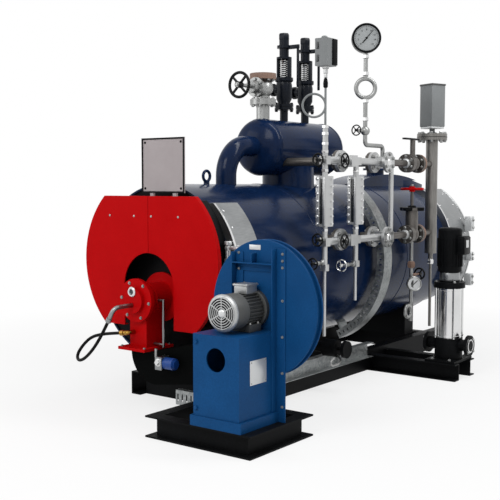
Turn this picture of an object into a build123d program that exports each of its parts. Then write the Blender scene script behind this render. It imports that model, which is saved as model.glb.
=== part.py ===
"""Fired horizontal steam boiler on a skid, with its blower, pipework and feed pump.

Millimetres. +Z is up, the boiler's axis runs along Y and the burner end faces -Y.
Lengths along Y are measured from the face of the front cover and moved to the origin at the end.
"""
import os
from math import acos, cos, degrees, radians, sin, tan

from build123d import *

# Frame of the part
cover_to_origin = 1450
seat_gap = 0.3
cut_overrun = 5

# Skid rails
skid_half_width = 360
skid_front = 240
skid_rear = 2750
rail_height = 125
rail_flange = 65
rail_web = 7

# Boiler shell, end plates and flue hood
shell_radius = 455
shell_wall = 10
shell_clearance = 115
shell_height = rail_height + shell_clearance + shell_radius
shell_crown = shell_height + shell_radius
shell_front = 100
shell_rear = 2500
plate_thickness = 18
plate_inset = 8
rear_box_radius = 425
rear_box_length = 300

# Side casings, front flange and cover
casing_thickness = 40
casing_radius = shell_radius + casing_thickness
casing_length = 190
rear_casing_overlap = 20
cover_radius = 450
cover_height = 660
cover_rise = 65
cover_centre = shell_height + cover_rise
cover_low = cover_centre - cover_height / 2
cover_top = cover_centre + cover_height / 2
front_casing_drop = 33
rear_casing_rise = 25
flange_radius = 430
flange_bore_radius = 340
flange_inset = 20
cover_depth = 25
cover_sheet = 6
cover_seam = 3
slot_width = 336
slot_rise = 46
slot_top = cover_centre + slot_rise
sign_width = 280
sign_height = 270
sign_thickness = 6
sign_offset = 97
sign_gap = 16
sign_foot_width = 22
sign_foot_spacing = 150

# Cross members, saddles, lifting eye and flue
cross_places = (320, cover_to_origin, 2440)
saddle_places = (560, 2280)
saddle_length = 120
saddle_half_width = 280
saddle_rise = 120
eye_place = 457
eye_radius = 28
eye_bar_radius = 8
eye_foot_radius = 16
eye_foot_height = 14
flue_place = 2290
flue_radius = 60
flue_height = 95
flue_flange_radius = 85
flue_flange_thickness = 14
hood_length = 980
hood_width = 240
hood_height = 66

# Burner, its hose and fittings
burner_drop = 183
burner_height = cover_centre - burner_drop
burner_radius = 78
burner_front = -75
burner_flange_radius = 126
burner_flange_thickness = 14
door_radius = 108
door_thickness = 20
door_boss_radius = 62
door_boss_length = 20
sight_radius = 22
sight_length = 26
sight_rise = 45
neck_width = 112
neck_depth = 110
base_flange_width = 180
base_flange_length = 210
base_flange_thickness = 14
base_flange_drop = 232
base_flange_top = burner_height - base_flange_drop
base_flange_shift = -22
hose_radius = 8
fitting_radius = 11
collar_radius = 14
collar_length = 22
elbow_bend = 30
hose_drops = (
    (-48, -235, 94), (-79, -235, 144), (-141, -235, 227), (-215, -230, 292), (-283, -215, 317),
    (-327, -185, 295), (-314, -158, 249), (-270, -140, 203), (-203, -128, 183), (-111, -120, 170),
    (-76, -120, 166),
)
hose_route = [(x, y, burner_height - drop) for x, y, drop in hose_drops]
run_share = 0.45
actuator_radius = 29
actuator_length = 58
bracket_place = 185
bracket_width = 42
bracket_height = 62
bracket_depth = 62
bracket_drop = 55
rod_radius = 7
rod_place = 118

# Air duct, blower and its frame
frame_front = -346
frame_rear = 182
frame_left = 300
frame_right = 899
frame_height = 100
frame_flange = 50
frame_web = 6
scroll_front = -70
scroll_width = 75
scroll_radius = 288
scroll_x = 775
scroll_height = 600
scroll_rim = 12
scroll_rim_thickness = 8
inlet_radius = 120
inlet_length = 50
inlet_wall = 6
duct_clearance = 44
duct_corner = 155
duct_left = -52
duct_depth = 112
duct_run = 400
duct_run_rise = 62
duct_top_rise = 72
duct_outlet_x = 560
duct_outlet_drop = 150
duct_width = 150
duct_collar = 18
duct_collar_thickness = 10
stand_left = 583
stand_right = 835
stand_front = -338
stand_drop = 107
stand_sheet = 6
stand_hole_radius = 52
stand_hole_drop = 105
post_width = 40
post_depth = 38
post_rise = 285
left_post_x = 570
stiffener_height = 30
stiffener_rise = 178
motor_x = 705
motor_lift = 12
motor_height = scroll_height + motor_lift
motor_radius = 78
motor_end = -300
cowl_length = 62
cowl_radius = 93
fin_count = 22
fin_height = 11
fin_thickness = 4
drive_flange_radius = 92
drive_flange_length = 24
foot_width = 150
foot_length = 110
terminal_width = 100
terminal_length = 110
terminal_rise = 123
hub_dish_radius = 26

# Steam drum, neck and riser
drum_radius = 162
drum_wall = 10
drum_rise = 213
drum_height = shell_crown + drum_rise
drum_front = 940
drum_rear = 1575
knuckle_share = 0.34
crown_share = 1.8
neck_radius = 156
neck_place = 1226
riser_radius = 57
riser_place = 625
riser_bend = 171

# Main steam valve and safety valves
steam_valve_place = 968
steam_stub_radius = 38
steam_stub_rise = 80
steam_flange_low = drum_height + drum_radius + steam_stub_rise
steam_flange_radius = 75
flange_pair = 32
steam_body_radius = 60
steam_body_height = 130
steam_bonnet_radius = 36
steam_bonnet_length = 120
bonnet_plate_radius = 56
bonnet_plate_thickness = 16
steam_stem_radius = 11
steam_stem_length = 85
steam_wheel_radius = 76
safety_places = (1180, 1405)
safety_stub_rise = 65
safety_flange_low = drum_height + drum_radius + safety_stub_rise
safety_stub_radius = 24
safety_flange_radius = 56
safety_body_radius = 38
safety_body_height = 105
safety_yoke_height = 145
safety_yoke_width = 76
safety_post = 14
safety_spring_radius = 20
safety_cap_radius = 30
safety_cap_height = 80
safety_outlet_radius = 26
safety_outlet_length = 80
lever_thickness = 8
lever_length = 95

# Water gauges and their nozzles
branch_offset = 105
branch_x = shell_radius + branch_offset
steam_branch_drop = 88
steam_branch_height = drum_height - steam_branch_drop
water_branch_rise = 148
water_branch_height = shell_height + water_branch_rise
nozzle_places = (1010, 1375)
nozzle_radius = 24
nozzle_flange_radius = 60
nozzle_flange_thickness = 18
nozzle_gap = 64
nozzle_reach = branch_x - nozzle_gap
branch_radius = 20
block_size = 62
gauge_places = (757, 1076)
gauge_width = 76
gauge_depth = 56
gauge_clearance = 83
gauge_bottom = water_branch_height + gauge_clearance
gauge_top = steam_branch_height - gauge_clearance
gauge_neck_radius = 15
drain_radius = 9
drain_cock_size = 34
drain_cock_drop = 136
drain_cock_height = water_branch_height - drain_cock_drop
drain_lengths = (365, 205)
cock_place = 886
cock_size = 44
cock_stem_radius = 8
cock_stem_length = 12
cock_wheel_radius = 42
blank_thickness = 16

# Level chamber and its isolating valves
chamber_place = 2018
chamber_radius = 37
chamber_drop = 134
chamber_bottom = water_branch_height - chamber_drop
chamber_rise = 151
chamber_top = steam_branch_height + chamber_rise
chamber_flange_radius = 94
chamber_flange_pair = 40
chamber_drain_length = 470
chamber_cock_height = 70
head_width = 116
head_gap = 42
head_height = 266
head_stem_radius = 24
valve_place = 1753
valve_half_length = 68
valve_flange_radius = 56
valve_flange_thickness = 18
valve_body_radius = 46
ball_stem_radius = 16
ball_stem_rise = 143
ball_lever_length = 118
ball_lever_tail = 72
ball_lever_width = 26
ball_lever_thickness = 10
globe_bonnet_radius = 38
globe_bonnet_rise = 145
gland_radius = 60
gland_thickness = 16
globe_stem_radius = 10
globe_stem_length = 114
globe_wheel_radius = 72
balance_place = 1483
balance_radius = 14

# Pressure gauge and pressure switch
gauge_turn = 37
dial_rise = 273
dial_radius = 80
dial_depth = 48
siphon_place = 1173
siphon_rise = 237
siphon_loop_radius = 53
siphon_tube_radius = 12
gauge_valve_rise = 171
gauge_valve_radius = 26
gauge_valve_stem = 90
gauge_wheel_radius = 31
switch_rise = 304
switch_height = 141
switch_width = 92
switch_depth = 74
switch_chain_rise = 183
capillary_radius = 6
capillary_loop_radius = 60
capillary_loop_rise = 101

# Drain gauge, blowdown valve, trays and feed pump
sample_radius = 11
sample_gauge_drop = 304
sample_gauge_radius = 42
sample_gauge_depth = 34
sample_loop_radius = 36
sample_loop_drop = 170
sample_end_drop = 235
blowdown_place = 975
blowdown_x = 470
blowdown_clearance = 113
blowdown_height = rail_height + blowdown_clearance
blowdown_pipe_radius = 30
blowdown_body_radius = 48
blowdown_body_length = 85
blowdown_wheel_radius = 48
blowdown_wheel_thickness = 20
blowdown_drop_x = 250
tray_place = 1485
tray_width = 95
tray_height = 50
tray_sheet = 3
tray_standoff = 40
tray_start = 52
tray_end = -64
slot_spacing = 30
slot_length = 18
slot_height = 9
rail_tray_front = 300
rail_tray_rear = 1565
rail_tray_bottom = 92
rail_tray_height = 88
rail_tray_depth = 46
front_tray_left = 0
front_tray_right = 350
front_tray_height = 78
front_tray_depth = 40
pump_x = 835
pump_place = 1712
arm_spacing = 215
arm_width = 60
arm_end = 940
pump_plate_width = 250
pump_plate_thickness = 14
pump_base_radius = 82
pump_base_height = 122
port_radius = 34
port_reach = 138
port_flange_radius = 62
port_flange_thickness = 18
port_height = 196
sleeve_radius = 72
sleeve_height = 300
stay_radius = 7
stay_circle = 82
stay_count = 4
head_flange_radius = 92
head_flange_thickness = 34
stool_height = 62
stool_radius = 58
pump_motor_radius = 70
pump_motor_height = 258
pump_cap_height = 30

# Spoked handwheels
rim_share = 0.11
wheel_hub_share = 0.24
spoke_share = 0.07
spoke_count = 4

X = Vector(1, 0, 0)
Y = Vector(0, 1, 0)
Z = Vector(0, 0, 1)
solids = {}


def bar(start, direction, radius, length):
    """A round bar from a start point."""
    grow = (Align.CENTER, Align.CENTER, Align.MIN)
    return Plane(origin=start, z_dir=direction) * Cylinder(radius, length, align=grow)


def block(x_range, y_range, z_range):
    """A box between two values on each axis."""
    low = (Align.MIN, Align.MIN, Align.MIN)
    size = [high - start for start, high in (x_range, y_range, z_range)]
    return Pos(x_range[0], y_range[0], z_range[0]) * Box(*size, align=low)


def middle(centre, width):
    """The range of a width about its centre."""
    return (centre - width / 2, centre + width / 2)


def slab(sketch, start, length):
    """A sketch drawn in X and Z, carried along +Y."""
    return extrude(Plane.XZ.offset(-start) * sketch, amount=-length)


def pipe(points, radius, bends):
    """A round bar along straight runs joined by bends."""
    path = FilletPolyline(*points, radius=bends)
    return sweep(Plane(origin=path @ 0, z_dir=path % 0) * Circle(radius), path=path)


def loop(centre, radius, tube, facing):
    """A ring of tube that faces a direction."""
    return Plane(origin=centre, z_dir=facing) * Torus(radius, tube)


def handwheel(centre, axis, radius):
    """A spoked rim and hub about a stem."""
    rim = radius * rim_share
    hub = radius * wheel_hub_share
    plane = Plane(origin=centre, z_dir=axis)
    spoke = radius * spoke_share
    wheel = Cylinder(hub, hub * 2)
    for index in range(spoke_count):
        turn = Rot(0, 0, (index + 1 / 2) * 360 / spoke_count)
        wheel += turn * block((0, radius - rim), (-spoke, spoke), (-spoke, spoke))
    wheel += Torus(radius - rim, rim)
    return plane * wheel


def shell_solid(extra):
    """The boiler shell's outer cylinder, grown a little, as a cutter."""
    return bar((0, shell_front - cut_overrun, shell_height), Y, shell_radius + extra,
               shell_rear - shell_front + cut_overrun * 2)


def drum_solid(extra):
    """The drum's outer cylinder, grown a little, as a cutter."""
    return bar((0, drum_front, drum_height), Y, drum_radius + extra, drum_rear - drum_front)


def dish(radius, wall):
    """A dished end whose dome points to +Z: knuckle and crown arcs, hollow where it has a wall."""
    knuckle = radius * knuckle_share
    crown = radius * crown_share
    turn = degrees(acos((radius - knuckle) / (crown - knuckle)))
    ends = []
    edges = []
    for inset in ((0, wall) if wall else (0,)):
        side = JernArc((radius - inset, 0), (0, 1), knuckle - inset, turn)
        top = JernArc(side @ 1, side % 1, crown - inset, 90 - turn)
        edges += [side, top]
        ends.append((side @ 0, top @ 1))
    if wall:
        edges += [Line(ends[0][0], ends[1][0]), Line(ends[0][1], ends[1][1])]
    else:
        edges += [Line(ends[0][0], (0, 0)), Line((0, 0), ends[0][1])]
    return revolve(Plane.XZ * make_face(edges), axis=Axis.Z)


def channel(x_range, y_range, z_range, web, open_side):
    """A channel bar: a box with its open side cut back to the web and flanges."""
    outer = block(x_range, y_range, z_range)
    ranges = [x_range, y_range, (z_range[0] + web, z_range[1] - web)]
    axis, sign = open_side
    low, high = ranges[axis]
    ranges[axis] = (low - cut_overrun, high - web) if sign < 0 else (low + web, high + cut_overrun)
    return outer - block(*ranges)


def keep(name, shape):
    """Names a finished sub-part."""
    solids[name] = shape


def make_skid():
    """Rails, cross members, saddles and the pump's arms."""
    span = (skid_front, skid_rear)
    inner = skid_half_width - rail_flange
    keep("skid_rail_right", channel((inner, skid_half_width), span, (0, rail_height), rail_web, (0, -1)))
    keep("skid_rail_left", channel((-skid_half_width, -inner), span, (0, rail_height), rail_web, (0, 1)))
    members = [channel((-inner, inner), middle(place, rail_flange), (0, rail_height), rail_web, (1, 1))
               for place in cross_places]
    keep("skid_cross_members", Compound(children=members))
    saddles = []
    for place in saddle_places:
        body = block((-saddle_half_width, saddle_half_width), middle(place, saddle_length),
                     (rail_height, rail_height + shell_clearance + saddle_rise))
        saddles.append(body - shell_solid(seat_gap))
    keep("saddles", Compound(children=saddles))
    arms = [channel((skid_half_width, arm_end), middle(pump_place + side * arm_spacing / 2, arm_width),
                    (0, frame_height), rail_web, (1, side)) for side in (-1, 1)]
    keep("pump_arms", Compound(children=arms))


def make_shell():
    """The hollow shell, its end plates, lifting eye and flue stub."""
    length = shell_rear - shell_front
    tube = bar((0, shell_front, shell_height), Y, shell_radius, length)
    bore = bar((0, shell_front - cut_overrun, shell_height), Y, shell_radius - shell_wall,
               length + cut_overrun * 2)
    keep("boiler_shell", tube - bore)
    plate_radius = shell_radius - shell_wall - seat_gap
    front = bar((0, shell_front + plate_inset, shell_height), Y, plate_radius, plate_thickness)
    keep("front_tube_plate", front)
    rear_place = shell_rear - plate_inset - plate_thickness
    rear = bar((0, rear_place, shell_height), Y, plate_radius, plate_thickness)
    rear += bar((0, rear_place, shell_height), Y, rear_box_radius, plate_thickness + rear_box_length)
    keep("rear_end_plate", rear)
    eye = bar((0, eye_place, shell_crown - eye_foot_height), Z, eye_foot_radius, eye_foot_height * 2)
    eye += loop((0, eye_place, shell_crown + eye_foot_height + eye_radius), eye_radius, eye_bar_radius, X)
    keep("lifting_eye", eye - shell_solid(seat_gap))
    flue_top = shell_crown + flue_height
    flue = bar((0, flue_place, shell_height), Z, flue_radius, flue_top - shell_height)
    flue += bar((0, flue_place, flue_top), Z, flue_flange_radius, flue_flange_thickness)
    ridge = make_hood(hood_length / 2)
    flue += extrude(Plane.YZ.offset(-hood_width / 2) * ridge, amount=hood_width)
    casing_front = shell_rear - rear_casing_overlap - seat_gap
    rear_box = bar((0, casing_front, shell_height), Y, casing_radius + seat_gap, rear_box_length * 2)
    keep("flue_stub", flue - shell_solid(seat_gap) - rear_box)


def make_hood(half):
    """The flue hood's long low arch over the shell's crown, drawn in Y and Z."""
    front = (flue_place - half, shell_crown)
    ridge = (flue_place, shell_crown + hood_height)
    rear = (flue_place + half, shell_crown)
    arch = ThreePointArc(front, ridge, rear)
    foot = shell_crown - hood_width
    sides = Polyline(rear, (rear[0], foot), (front[0], foot), front)
    return make_face([arch, *sides.edges()])


def side_lobes(outer, inner, centre, low, high):
    """The two side lobes between a circle cut flat above and below and a round bore."""
    ring = Pos(0, centre) * (Circle(outer) - Circle(inner))
    return ring & Pos(0, (low + high) / 2) * Rectangle(outer * 2, high - low)


def make_casings():
    """Stainless side casings, the flange behind the cover, the cover's halves and the sign plate."""
    lobes = side_lobes(casing_radius, shell_radius + seat_gap, shell_height, cover_low,
                       cover_top - front_casing_drop)
    keep("front_side_casings", slab(lobes, shell_front, casing_length))
    lobes = side_lobes(casing_radius, rear_box_radius + seat_gap, shell_height, cover_low,
                       cover_top + rear_casing_rise)
    rear_start = shell_rear - rear_casing_overlap
    casings = slab(lobes, rear_start, rear_casing_overlap + rear_box_length - plate_inset)
    keep("rear_side_casings", casings - shell_solid(seat_gap))
    flange = side_lobes(flange_radius, flange_bore_radius, cover_centre, cover_low + flange_inset,
                        cover_top - flange_inset)
    keep("front_flange", slab(flange, cover_sheet, shell_front - cover_sheet))
    slot_centre = slot_top - slot_width / 2
    slot = Pos(0, slot_centre) * Circle(slot_width / 2)
    slot += Pos(0, slot_centre - cover_height / 2) * Rectangle(slot_width, cover_height)
    for name, side in (("front_cover_left", -1), ("front_cover_right", 1)):
        face = Circle(cover_radius) & Rectangle(cover_radius * 2, cover_height)
        inner = Circle(cover_radius - cover_sheet)
        inner &= Rectangle(cover_radius * 2, cover_height - cover_sheet * 2)
        half = Pos(side * (cover_radius + cover_seam / 2), 0) * Rectangle(cover_radius * 2, cover_height)
        face = Pos(0, cover_centre) * (face & half) - slot
        inner = Pos(0, cover_centre) * inner
        solid = slab(face, 0, cover_depth) - slab(inner, cover_sheet, cover_depth)
        keep(name, solid)
    sign_low = cover_top + sign_gap
    sign = block(middle(sign_offset, sign_width), (cover_sheet, cover_sheet + sign_thickness),
                 (sign_low, sign_low + sign_height))
    for side in (-1, 1):
        foot_x = sign_offset + side * sign_foot_spacing / 2
        sign += block(middle(foot_x, sign_foot_width), (cover_sheet, cover_depth - cover_sheet),
                      (cover_top, sign_low + sign_foot_width))
    keep("sign_plate", sign)


def make_burner():
    """Burner casting, its front door, hose, fittings and damper actuator."""
    plate_face = shell_front + plate_inset
    body = bar((0, burner_front, burner_height), Y, burner_radius, plate_face - burner_front)
    flange_start = plate_face - burner_flange_thickness
    body += bar((0, flange_start, burner_height), Y, burner_flange_radius, burner_flange_thickness)
    neck_centre = burner_front + neck_depth / 2
    body += block(middle(0, neck_width), middle(neck_centre, neck_depth), (base_flange_top, burner_height))
    body += block(middle(0, base_flange_width), middle(base_flange_shift, base_flange_length),
                  (base_flange_top - base_flange_thickness, base_flange_top))
    keep("burner_body", body)
    door_face = burner_front - door_thickness
    door = bar((0, door_face, burner_height), Y, door_radius, door_thickness)
    door += bar((0, door_face, burner_height), -Y, door_boss_radius, door_boss_length)
    sight = (0, door_face - door_boss_length, burner_height + sight_rise)
    door += bar(sight, Y, sight_radius, sight_length)
    keep("burner_door", door)
    start = Vector(*hose_route[0])
    lead = (start - Vector(*hose_route[1])).normalized()
    boss_height = burner_height - sight_radius
    knee = start + lead * ((boss_height - start.Z) / lead.Z)
    boss = Vector(knee.X, door_face - door_boss_length, boss_height)
    elbow = pipe([boss, knee, start], fitting_radius, elbow_bend)
    elbow += bar(start, lead, collar_radius, collar_length)
    keep("oil_elbow", elbow)
    end = Vector(*hose_route[-1])
    lead = (end - Vector(*hose_route[-2])).normalized()
    turn = end + lead * ((-neck_width / 4 - end.X) / lead.X)
    seat = Vector(turn.X, burner_front, turn.Z)
    inlet = pipe([end, turn, seat], fitting_radius, fitting_radius * 2)
    inlet += bar(end, lead, collar_radius, collar_length)
    keep("oil_inlet", inlet)
    keep("oil_hose", make_hose())
    make_damper()


def make_damper():
    """Damper actuator on its bracket against the duct, and the rod up to the burner."""
    bracket_height_mid = base_flange_top - bracket_drop
    bracket = block(middle(bracket_place, bracket_width), (scroll_front - bracket_depth, scroll_front),
                    middle(bracket_height_mid, bracket_height))
    rod_y = burner_front + neck_depth / 2
    rod = bar((rod_place, rod_y, base_flange_top), Z, rod_radius,
              burner_height - base_flange_top + rod_radius)
    low_arm = base_flange_top + rod_radius * 2
    for start, height in ((neck_width / 2, low_arm), (burner_radius, burner_height)):
        rod += bar((start + seat_gap, rod_y, height), X, rod_radius, rod_place - start)
    keep("damper_rod", Compound(children=[bracket, rod]))
    actuator_y = scroll_front - bracket_depth / 2
    actuator_start = (bracket_place + bracket_width / 2, actuator_y, bracket_height_mid)
    keep("damper_actuator", bar(actuator_start, X, actuator_radius, actuator_length))


def make_hose():
    """The flexible oil hose, as runs joined by bends as wide as the runs allow."""
    route = [Vector(*point) for point in hose_route]
    bends = []
    for before, corner, after in zip(route, route[1:], route[2:]):
        first = corner - before
        second = after - corner
        turn = radians(first.get_angle(second))
        bends.append(run_share * min(first.length, second.length) / tan(turn / 2))
    print("hose bends", [round(bend) for bend in bends])
    hose = pipe(route, hose_radius, bends)
    return hose


def make_blower():
    """Air duct, scroll, stand, motor and base frame of the blower."""
    floor = frame_height
    flange_low = base_flange_top - base_flange_thickness
    keep("air_duct", make_duct(flange_low))
    casing = slab(Pos(scroll_x, scroll_height) * Circle(scroll_radius), scroll_front, scroll_width)
    rim = Pos(scroll_x, scroll_height) * Circle(scroll_radius + scroll_rim)
    for start in (scroll_front, scroll_front + scroll_width - scroll_rim_thickness):
        casing += slab(rim, start, scroll_rim_thickness)
    back = scroll_front + scroll_width
    casing += bar((motor_x, back, motor_height), Y, inlet_radius, inlet_length)
    casing -= bar((motor_x, back, motor_height), Y, inlet_radius - inlet_wall, inlet_length + cut_overrun)
    stand_top = motor_height - stand_drop
    post_top = scroll_height + post_rise
    posts = (scroll_front - post_depth, scroll_front)
    casing += block((left_post_x, left_post_x + post_width), posts, (stand_top, post_top))
    casing += block((stand_right, stand_right + post_width), posts, (floor, post_top))
    casing += block((left_post_x, stand_right + post_width), posts,
                    middle(scroll_height + stiffener_rise, stiffener_height))
    keep("blower_scroll", casing)
    stand = block((stand_left, stand_right), (stand_front, scroll_front), (floor, stand_top))
    stand -= block((stand_left + stand_sheet, stand_right - stand_sheet),
                   (stand_front + stand_sheet, scroll_front - stand_sheet),
                   (floor - cut_overrun, stand_top - stand_sheet))
    stand -= bar(((stand_left + stand_right) / 2, stand_front - cut_overrun, stand_top - stand_hole_drop), Y,
                 stand_hole_radius, stand_sheet + cut_overrun * 2)
    keep("blower_stand", stand)
    keep("blower_motor", make_motor(stand_top))
    across = (frame_left, frame_right)
    inner = (frame_left + frame_flange, frame_right - frame_flange)
    level = (0, frame_height)
    rails = [channel(across, (frame_front, frame_front + frame_flange), level, frame_web, (1, 1)),
             channel(across, (frame_rear - frame_flange, frame_rear), level, frame_web, (1, -1))]
    keep("blower_base_rails", Compound(children=rails))
    along = (frame_front + frame_flange, frame_rear - frame_flange)
    ends = [channel((frame_left, inner[0]), along, level, frame_web, (0, 1)),
            channel((inner[1], frame_right), along, level, frame_web, (0, -1)),
            channel((stand_left, stand_left + frame_flange), along, level, frame_web, (0, 1))]
    keep("blower_base_ends", Compound(children=ends))


def make_duct(flange_low):
    """The air duct: a wide bend under the burner that rises to the scroll's side."""
    low = frame_height + duct_clearance
    outlet_low = scroll_height - scroll_radius + cut_overrun
    outlet_high = scroll_height - duct_outlet_drop
    outline = make_face(Polyline(
        (duct_left, flange_low), (duct_left, low), (duct_run, low + duct_run_rise),
        (duct_outlet_x, outlet_low), (duct_outlet_x, outlet_high), (duct_run, flange_low + duct_top_rise),
        (duct_left + duct_width, flange_low), close=True))
    outline = fillet(outline.vertices().group_by(Axis.Y)[0], duct_corner)
    duct = slab(outline, scroll_front, duct_depth)
    reach = scroll_radius + scroll_rim + seat_gap
    duct -= bar((scroll_x, scroll_front - cut_overrun, scroll_height), Y, reach,
                duct_depth + cut_overrun * 2)
    collar = block(middle(duct_left + duct_width / 2, duct_width + duct_collar * 2),
                   (scroll_front, scroll_front + duct_depth + duct_collar),
                   (flange_low - duct_collar_thickness, flange_low))
    return duct + collar


def make_motor(stand_top):
    """Finned motor with its fan cowl, feet and terminal box."""
    cowl_end = motor_end + cowl_length
    flange_start = scroll_front - drive_flange_length
    motor = bar((motor_x, motor_end, motor_height), Y, motor_radius, scroll_front - motor_end)
    cowl = bar((motor_x, motor_end, motor_height), Y, cowl_radius, cowl_length)
    motor += fillet(cowl.edges().sort_by(Axis.Y)[:1], cowl_radius - motor_radius)
    motor -= bar((motor_x, motor_end, motor_height), Y, hub_dish_radius, fin_height)
    motor += bar((motor_x, flange_start, motor_height), Y, drive_flange_radius, drive_flange_length)
    fin_span = (cowl_end, flange_start)
    for index in range(fin_count):
        fin = block((0, motor_radius + fin_height), fin_span, middle(0, fin_thickness))
        motor += Pos(motor_x, 0, motor_height) * Rot(0, index * 360 / fin_count, 0) * fin
    foot_start = flange_start - foot_length
    motor += block(middle(motor_x, foot_width), (foot_start, flange_start),
                   (stand_top, motor_height - motor_radius / 2))
    motor += block(middle(motor_x, terminal_width), (flange_start - terminal_length, flange_start),
                   (motor_height, motor_height + terminal_rise))
    return motor


def make_drum():
    """Steam drum with dished ends, its neck and the riser from the shell."""
    tube = drum_solid(0)
    bore = bar((0, drum_front - cut_overrun, drum_height), Y, drum_radius - drum_wall,
               drum_rear - drum_front + cut_overrun * 2)
    keep("drum_shell", tube - bore)
    cap = dish(drum_radius, drum_wall)
    ends = [Plane(origin=(0, drum_front, drum_height), z_dir=-Y) * cap,
            Plane(origin=(0, drum_rear, drum_height), z_dir=Y) * cap]
    keep("drum_ends", Compound(children=ends))
    neck = bar((0, neck_place, shell_height), Z, neck_radius, drum_height - shell_height)
    neck -= bar((0, neck_place, shell_height), Z, neck_radius - drum_wall, drum_height - shell_height)
    keep("drum_neck", neck - shell_solid(seat_gap) - drum_solid(seat_gap))
    corner = (0, riser_place, drum_height)
    riser = pipe([(0, riser_place, shell_height), corner, (0, drum_front, drum_height)], riser_radius,
                 riser_bend)
    keep("riser_pipe", riser - shell_solid(seat_gap) - front_dome())


def front_dome():
    """The drum's front end, grown a little and filled, as a cutter."""
    return Plane(origin=(0, drum_front, drum_height), z_dir=-Y) * dish(drum_radius + seat_gap, 0)


def make_drum_valves():
    """Main steam valve with its handwheel, and the spring safety valves."""
    flange_top = steam_flange_low + flange_pair
    body_top = flange_top + steam_body_height
    middle_height = (flange_top + body_top) / 2
    base = (0, steam_valve_place, drum_height)
    valve = bar(base, Z, steam_stub_radius, body_top - drum_height)
    valve += bar((0, steam_valve_place, steam_flange_low), Z, steam_flange_radius, flange_pair)
    valve += bar((0, steam_valve_place, body_top - flange_pair / 2), Z, steam_flange_radius, flange_pair)
    centre = (0, steam_valve_place, middle_height)
    valve += Pos(*centre) * Sphere(steam_body_radius)
    valve += bar(centre, -Y, steam_bonnet_radius, steam_bonnet_length)
    plate_start = steam_valve_place - steam_body_radius
    valve += bar((0, plate_start, middle_height), -Y, bonnet_plate_radius, bonnet_plate_thickness)
    bonnet_end = steam_valve_place - steam_bonnet_length
    valve += bar((0, bonnet_end, middle_height), -Y, steam_stem_radius, steam_stem_length)
    keep("main_steam_valve", valve - drum_solid(seat_gap) - front_dome())
    hub = steam_wheel_radius * wheel_hub_share
    wheel_place = bonnet_end - steam_stem_length - hub - seat_gap
    keep("main_steam_wheel", handwheel((0, wheel_place, middle_height), Y, steam_wheel_radius))
    keep("safety_valves", Compound(children=[make_safety_valve(place) for place in safety_places]))


def make_safety_valve(place):
    """A flanged spring safety valve with an open yoke, cap, lever and side outlet."""
    flange_top = safety_flange_low + flange_pair
    body_top = flange_top + safety_body_height
    yoke_top = body_top + safety_yoke_height
    valve = bar((0, place, drum_height), Z, safety_stub_radius, body_top - drum_height)
    valve += bar((0, place, safety_flange_low), Z, safety_flange_radius, flange_pair)
    valve += bar((0, place, flange_top), Z, safety_body_radius, safety_body_height)
    outlet_height = flange_top + safety_body_height / 2
    valve += bar((0, place, outlet_height), -X, safety_outlet_radius, safety_outlet_length)
    outlet_end = (-safety_outlet_length, place, outlet_height)
    valve += bar(outlet_end, X, safety_body_radius, safety_post)
    valve += bar((0, place, body_top - safety_post), Z, safety_flange_radius, safety_post)
    for side in (-1, 1):
        valve += block(middle(side * safety_yoke_width / 2, safety_post), middle(place, safety_post * 2),
                       (body_top - safety_post, yoke_top))
    valve += block(middle(0, safety_yoke_width + safety_post), middle(place, safety_post * 2),
                   (yoke_top - safety_post, yoke_top))
    valve += bar((0, place, body_top - safety_post), Z, safety_spring_radius, safety_yoke_height)
    valve += bar((0, place, yoke_top - safety_post), Z, safety_cap_radius, safety_cap_height)
    lever_height = yoke_top + safety_cap_height / 2
    valve += block((0, lever_length), middle(place, lever_thickness),
                   middle(lever_height, lever_thickness * 2))
    return valve - drum_solid(seat_gap)


def make_nozzles():
    """Flanged nozzles that carry the water gauges on the drum and on the shell."""
    for name, height, hull in (("steam_nozzles", steam_branch_height, drum_solid(seat_gap)),
                               ("water_nozzles", water_branch_height, shell_solid(seat_gap))):
        stubs = []
        for place in nozzle_places:
            stub = bar((0, place, height), X, nozzle_radius, nozzle_reach)
            stub += bar((nozzle_reach - nozzle_flange_thickness, place, height), X, nozzle_flange_radius,
                        nozzle_flange_thickness)
            stubs.append(stub - hull)
        keep(name, Compound(children=stubs))


def branch(place, gauge, height):
    """One flanged cock body with its pipe to the gauge's line."""
    piece = bar((nozzle_reach, place, height), X, nozzle_flange_radius, nozzle_flange_thickness)
    piece += bar((nozzle_reach, place, height), X, branch_radius, branch_x - nozzle_reach)
    for centre, size in ((place, block_size), (gauge, cock_size)):
        piece += block(middle(branch_x, size), middle(centre, size), middle(height, size))
    piece += bar((branch_x, place, height), -Y, branch_radius, place - gauge)
    return piece


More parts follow.
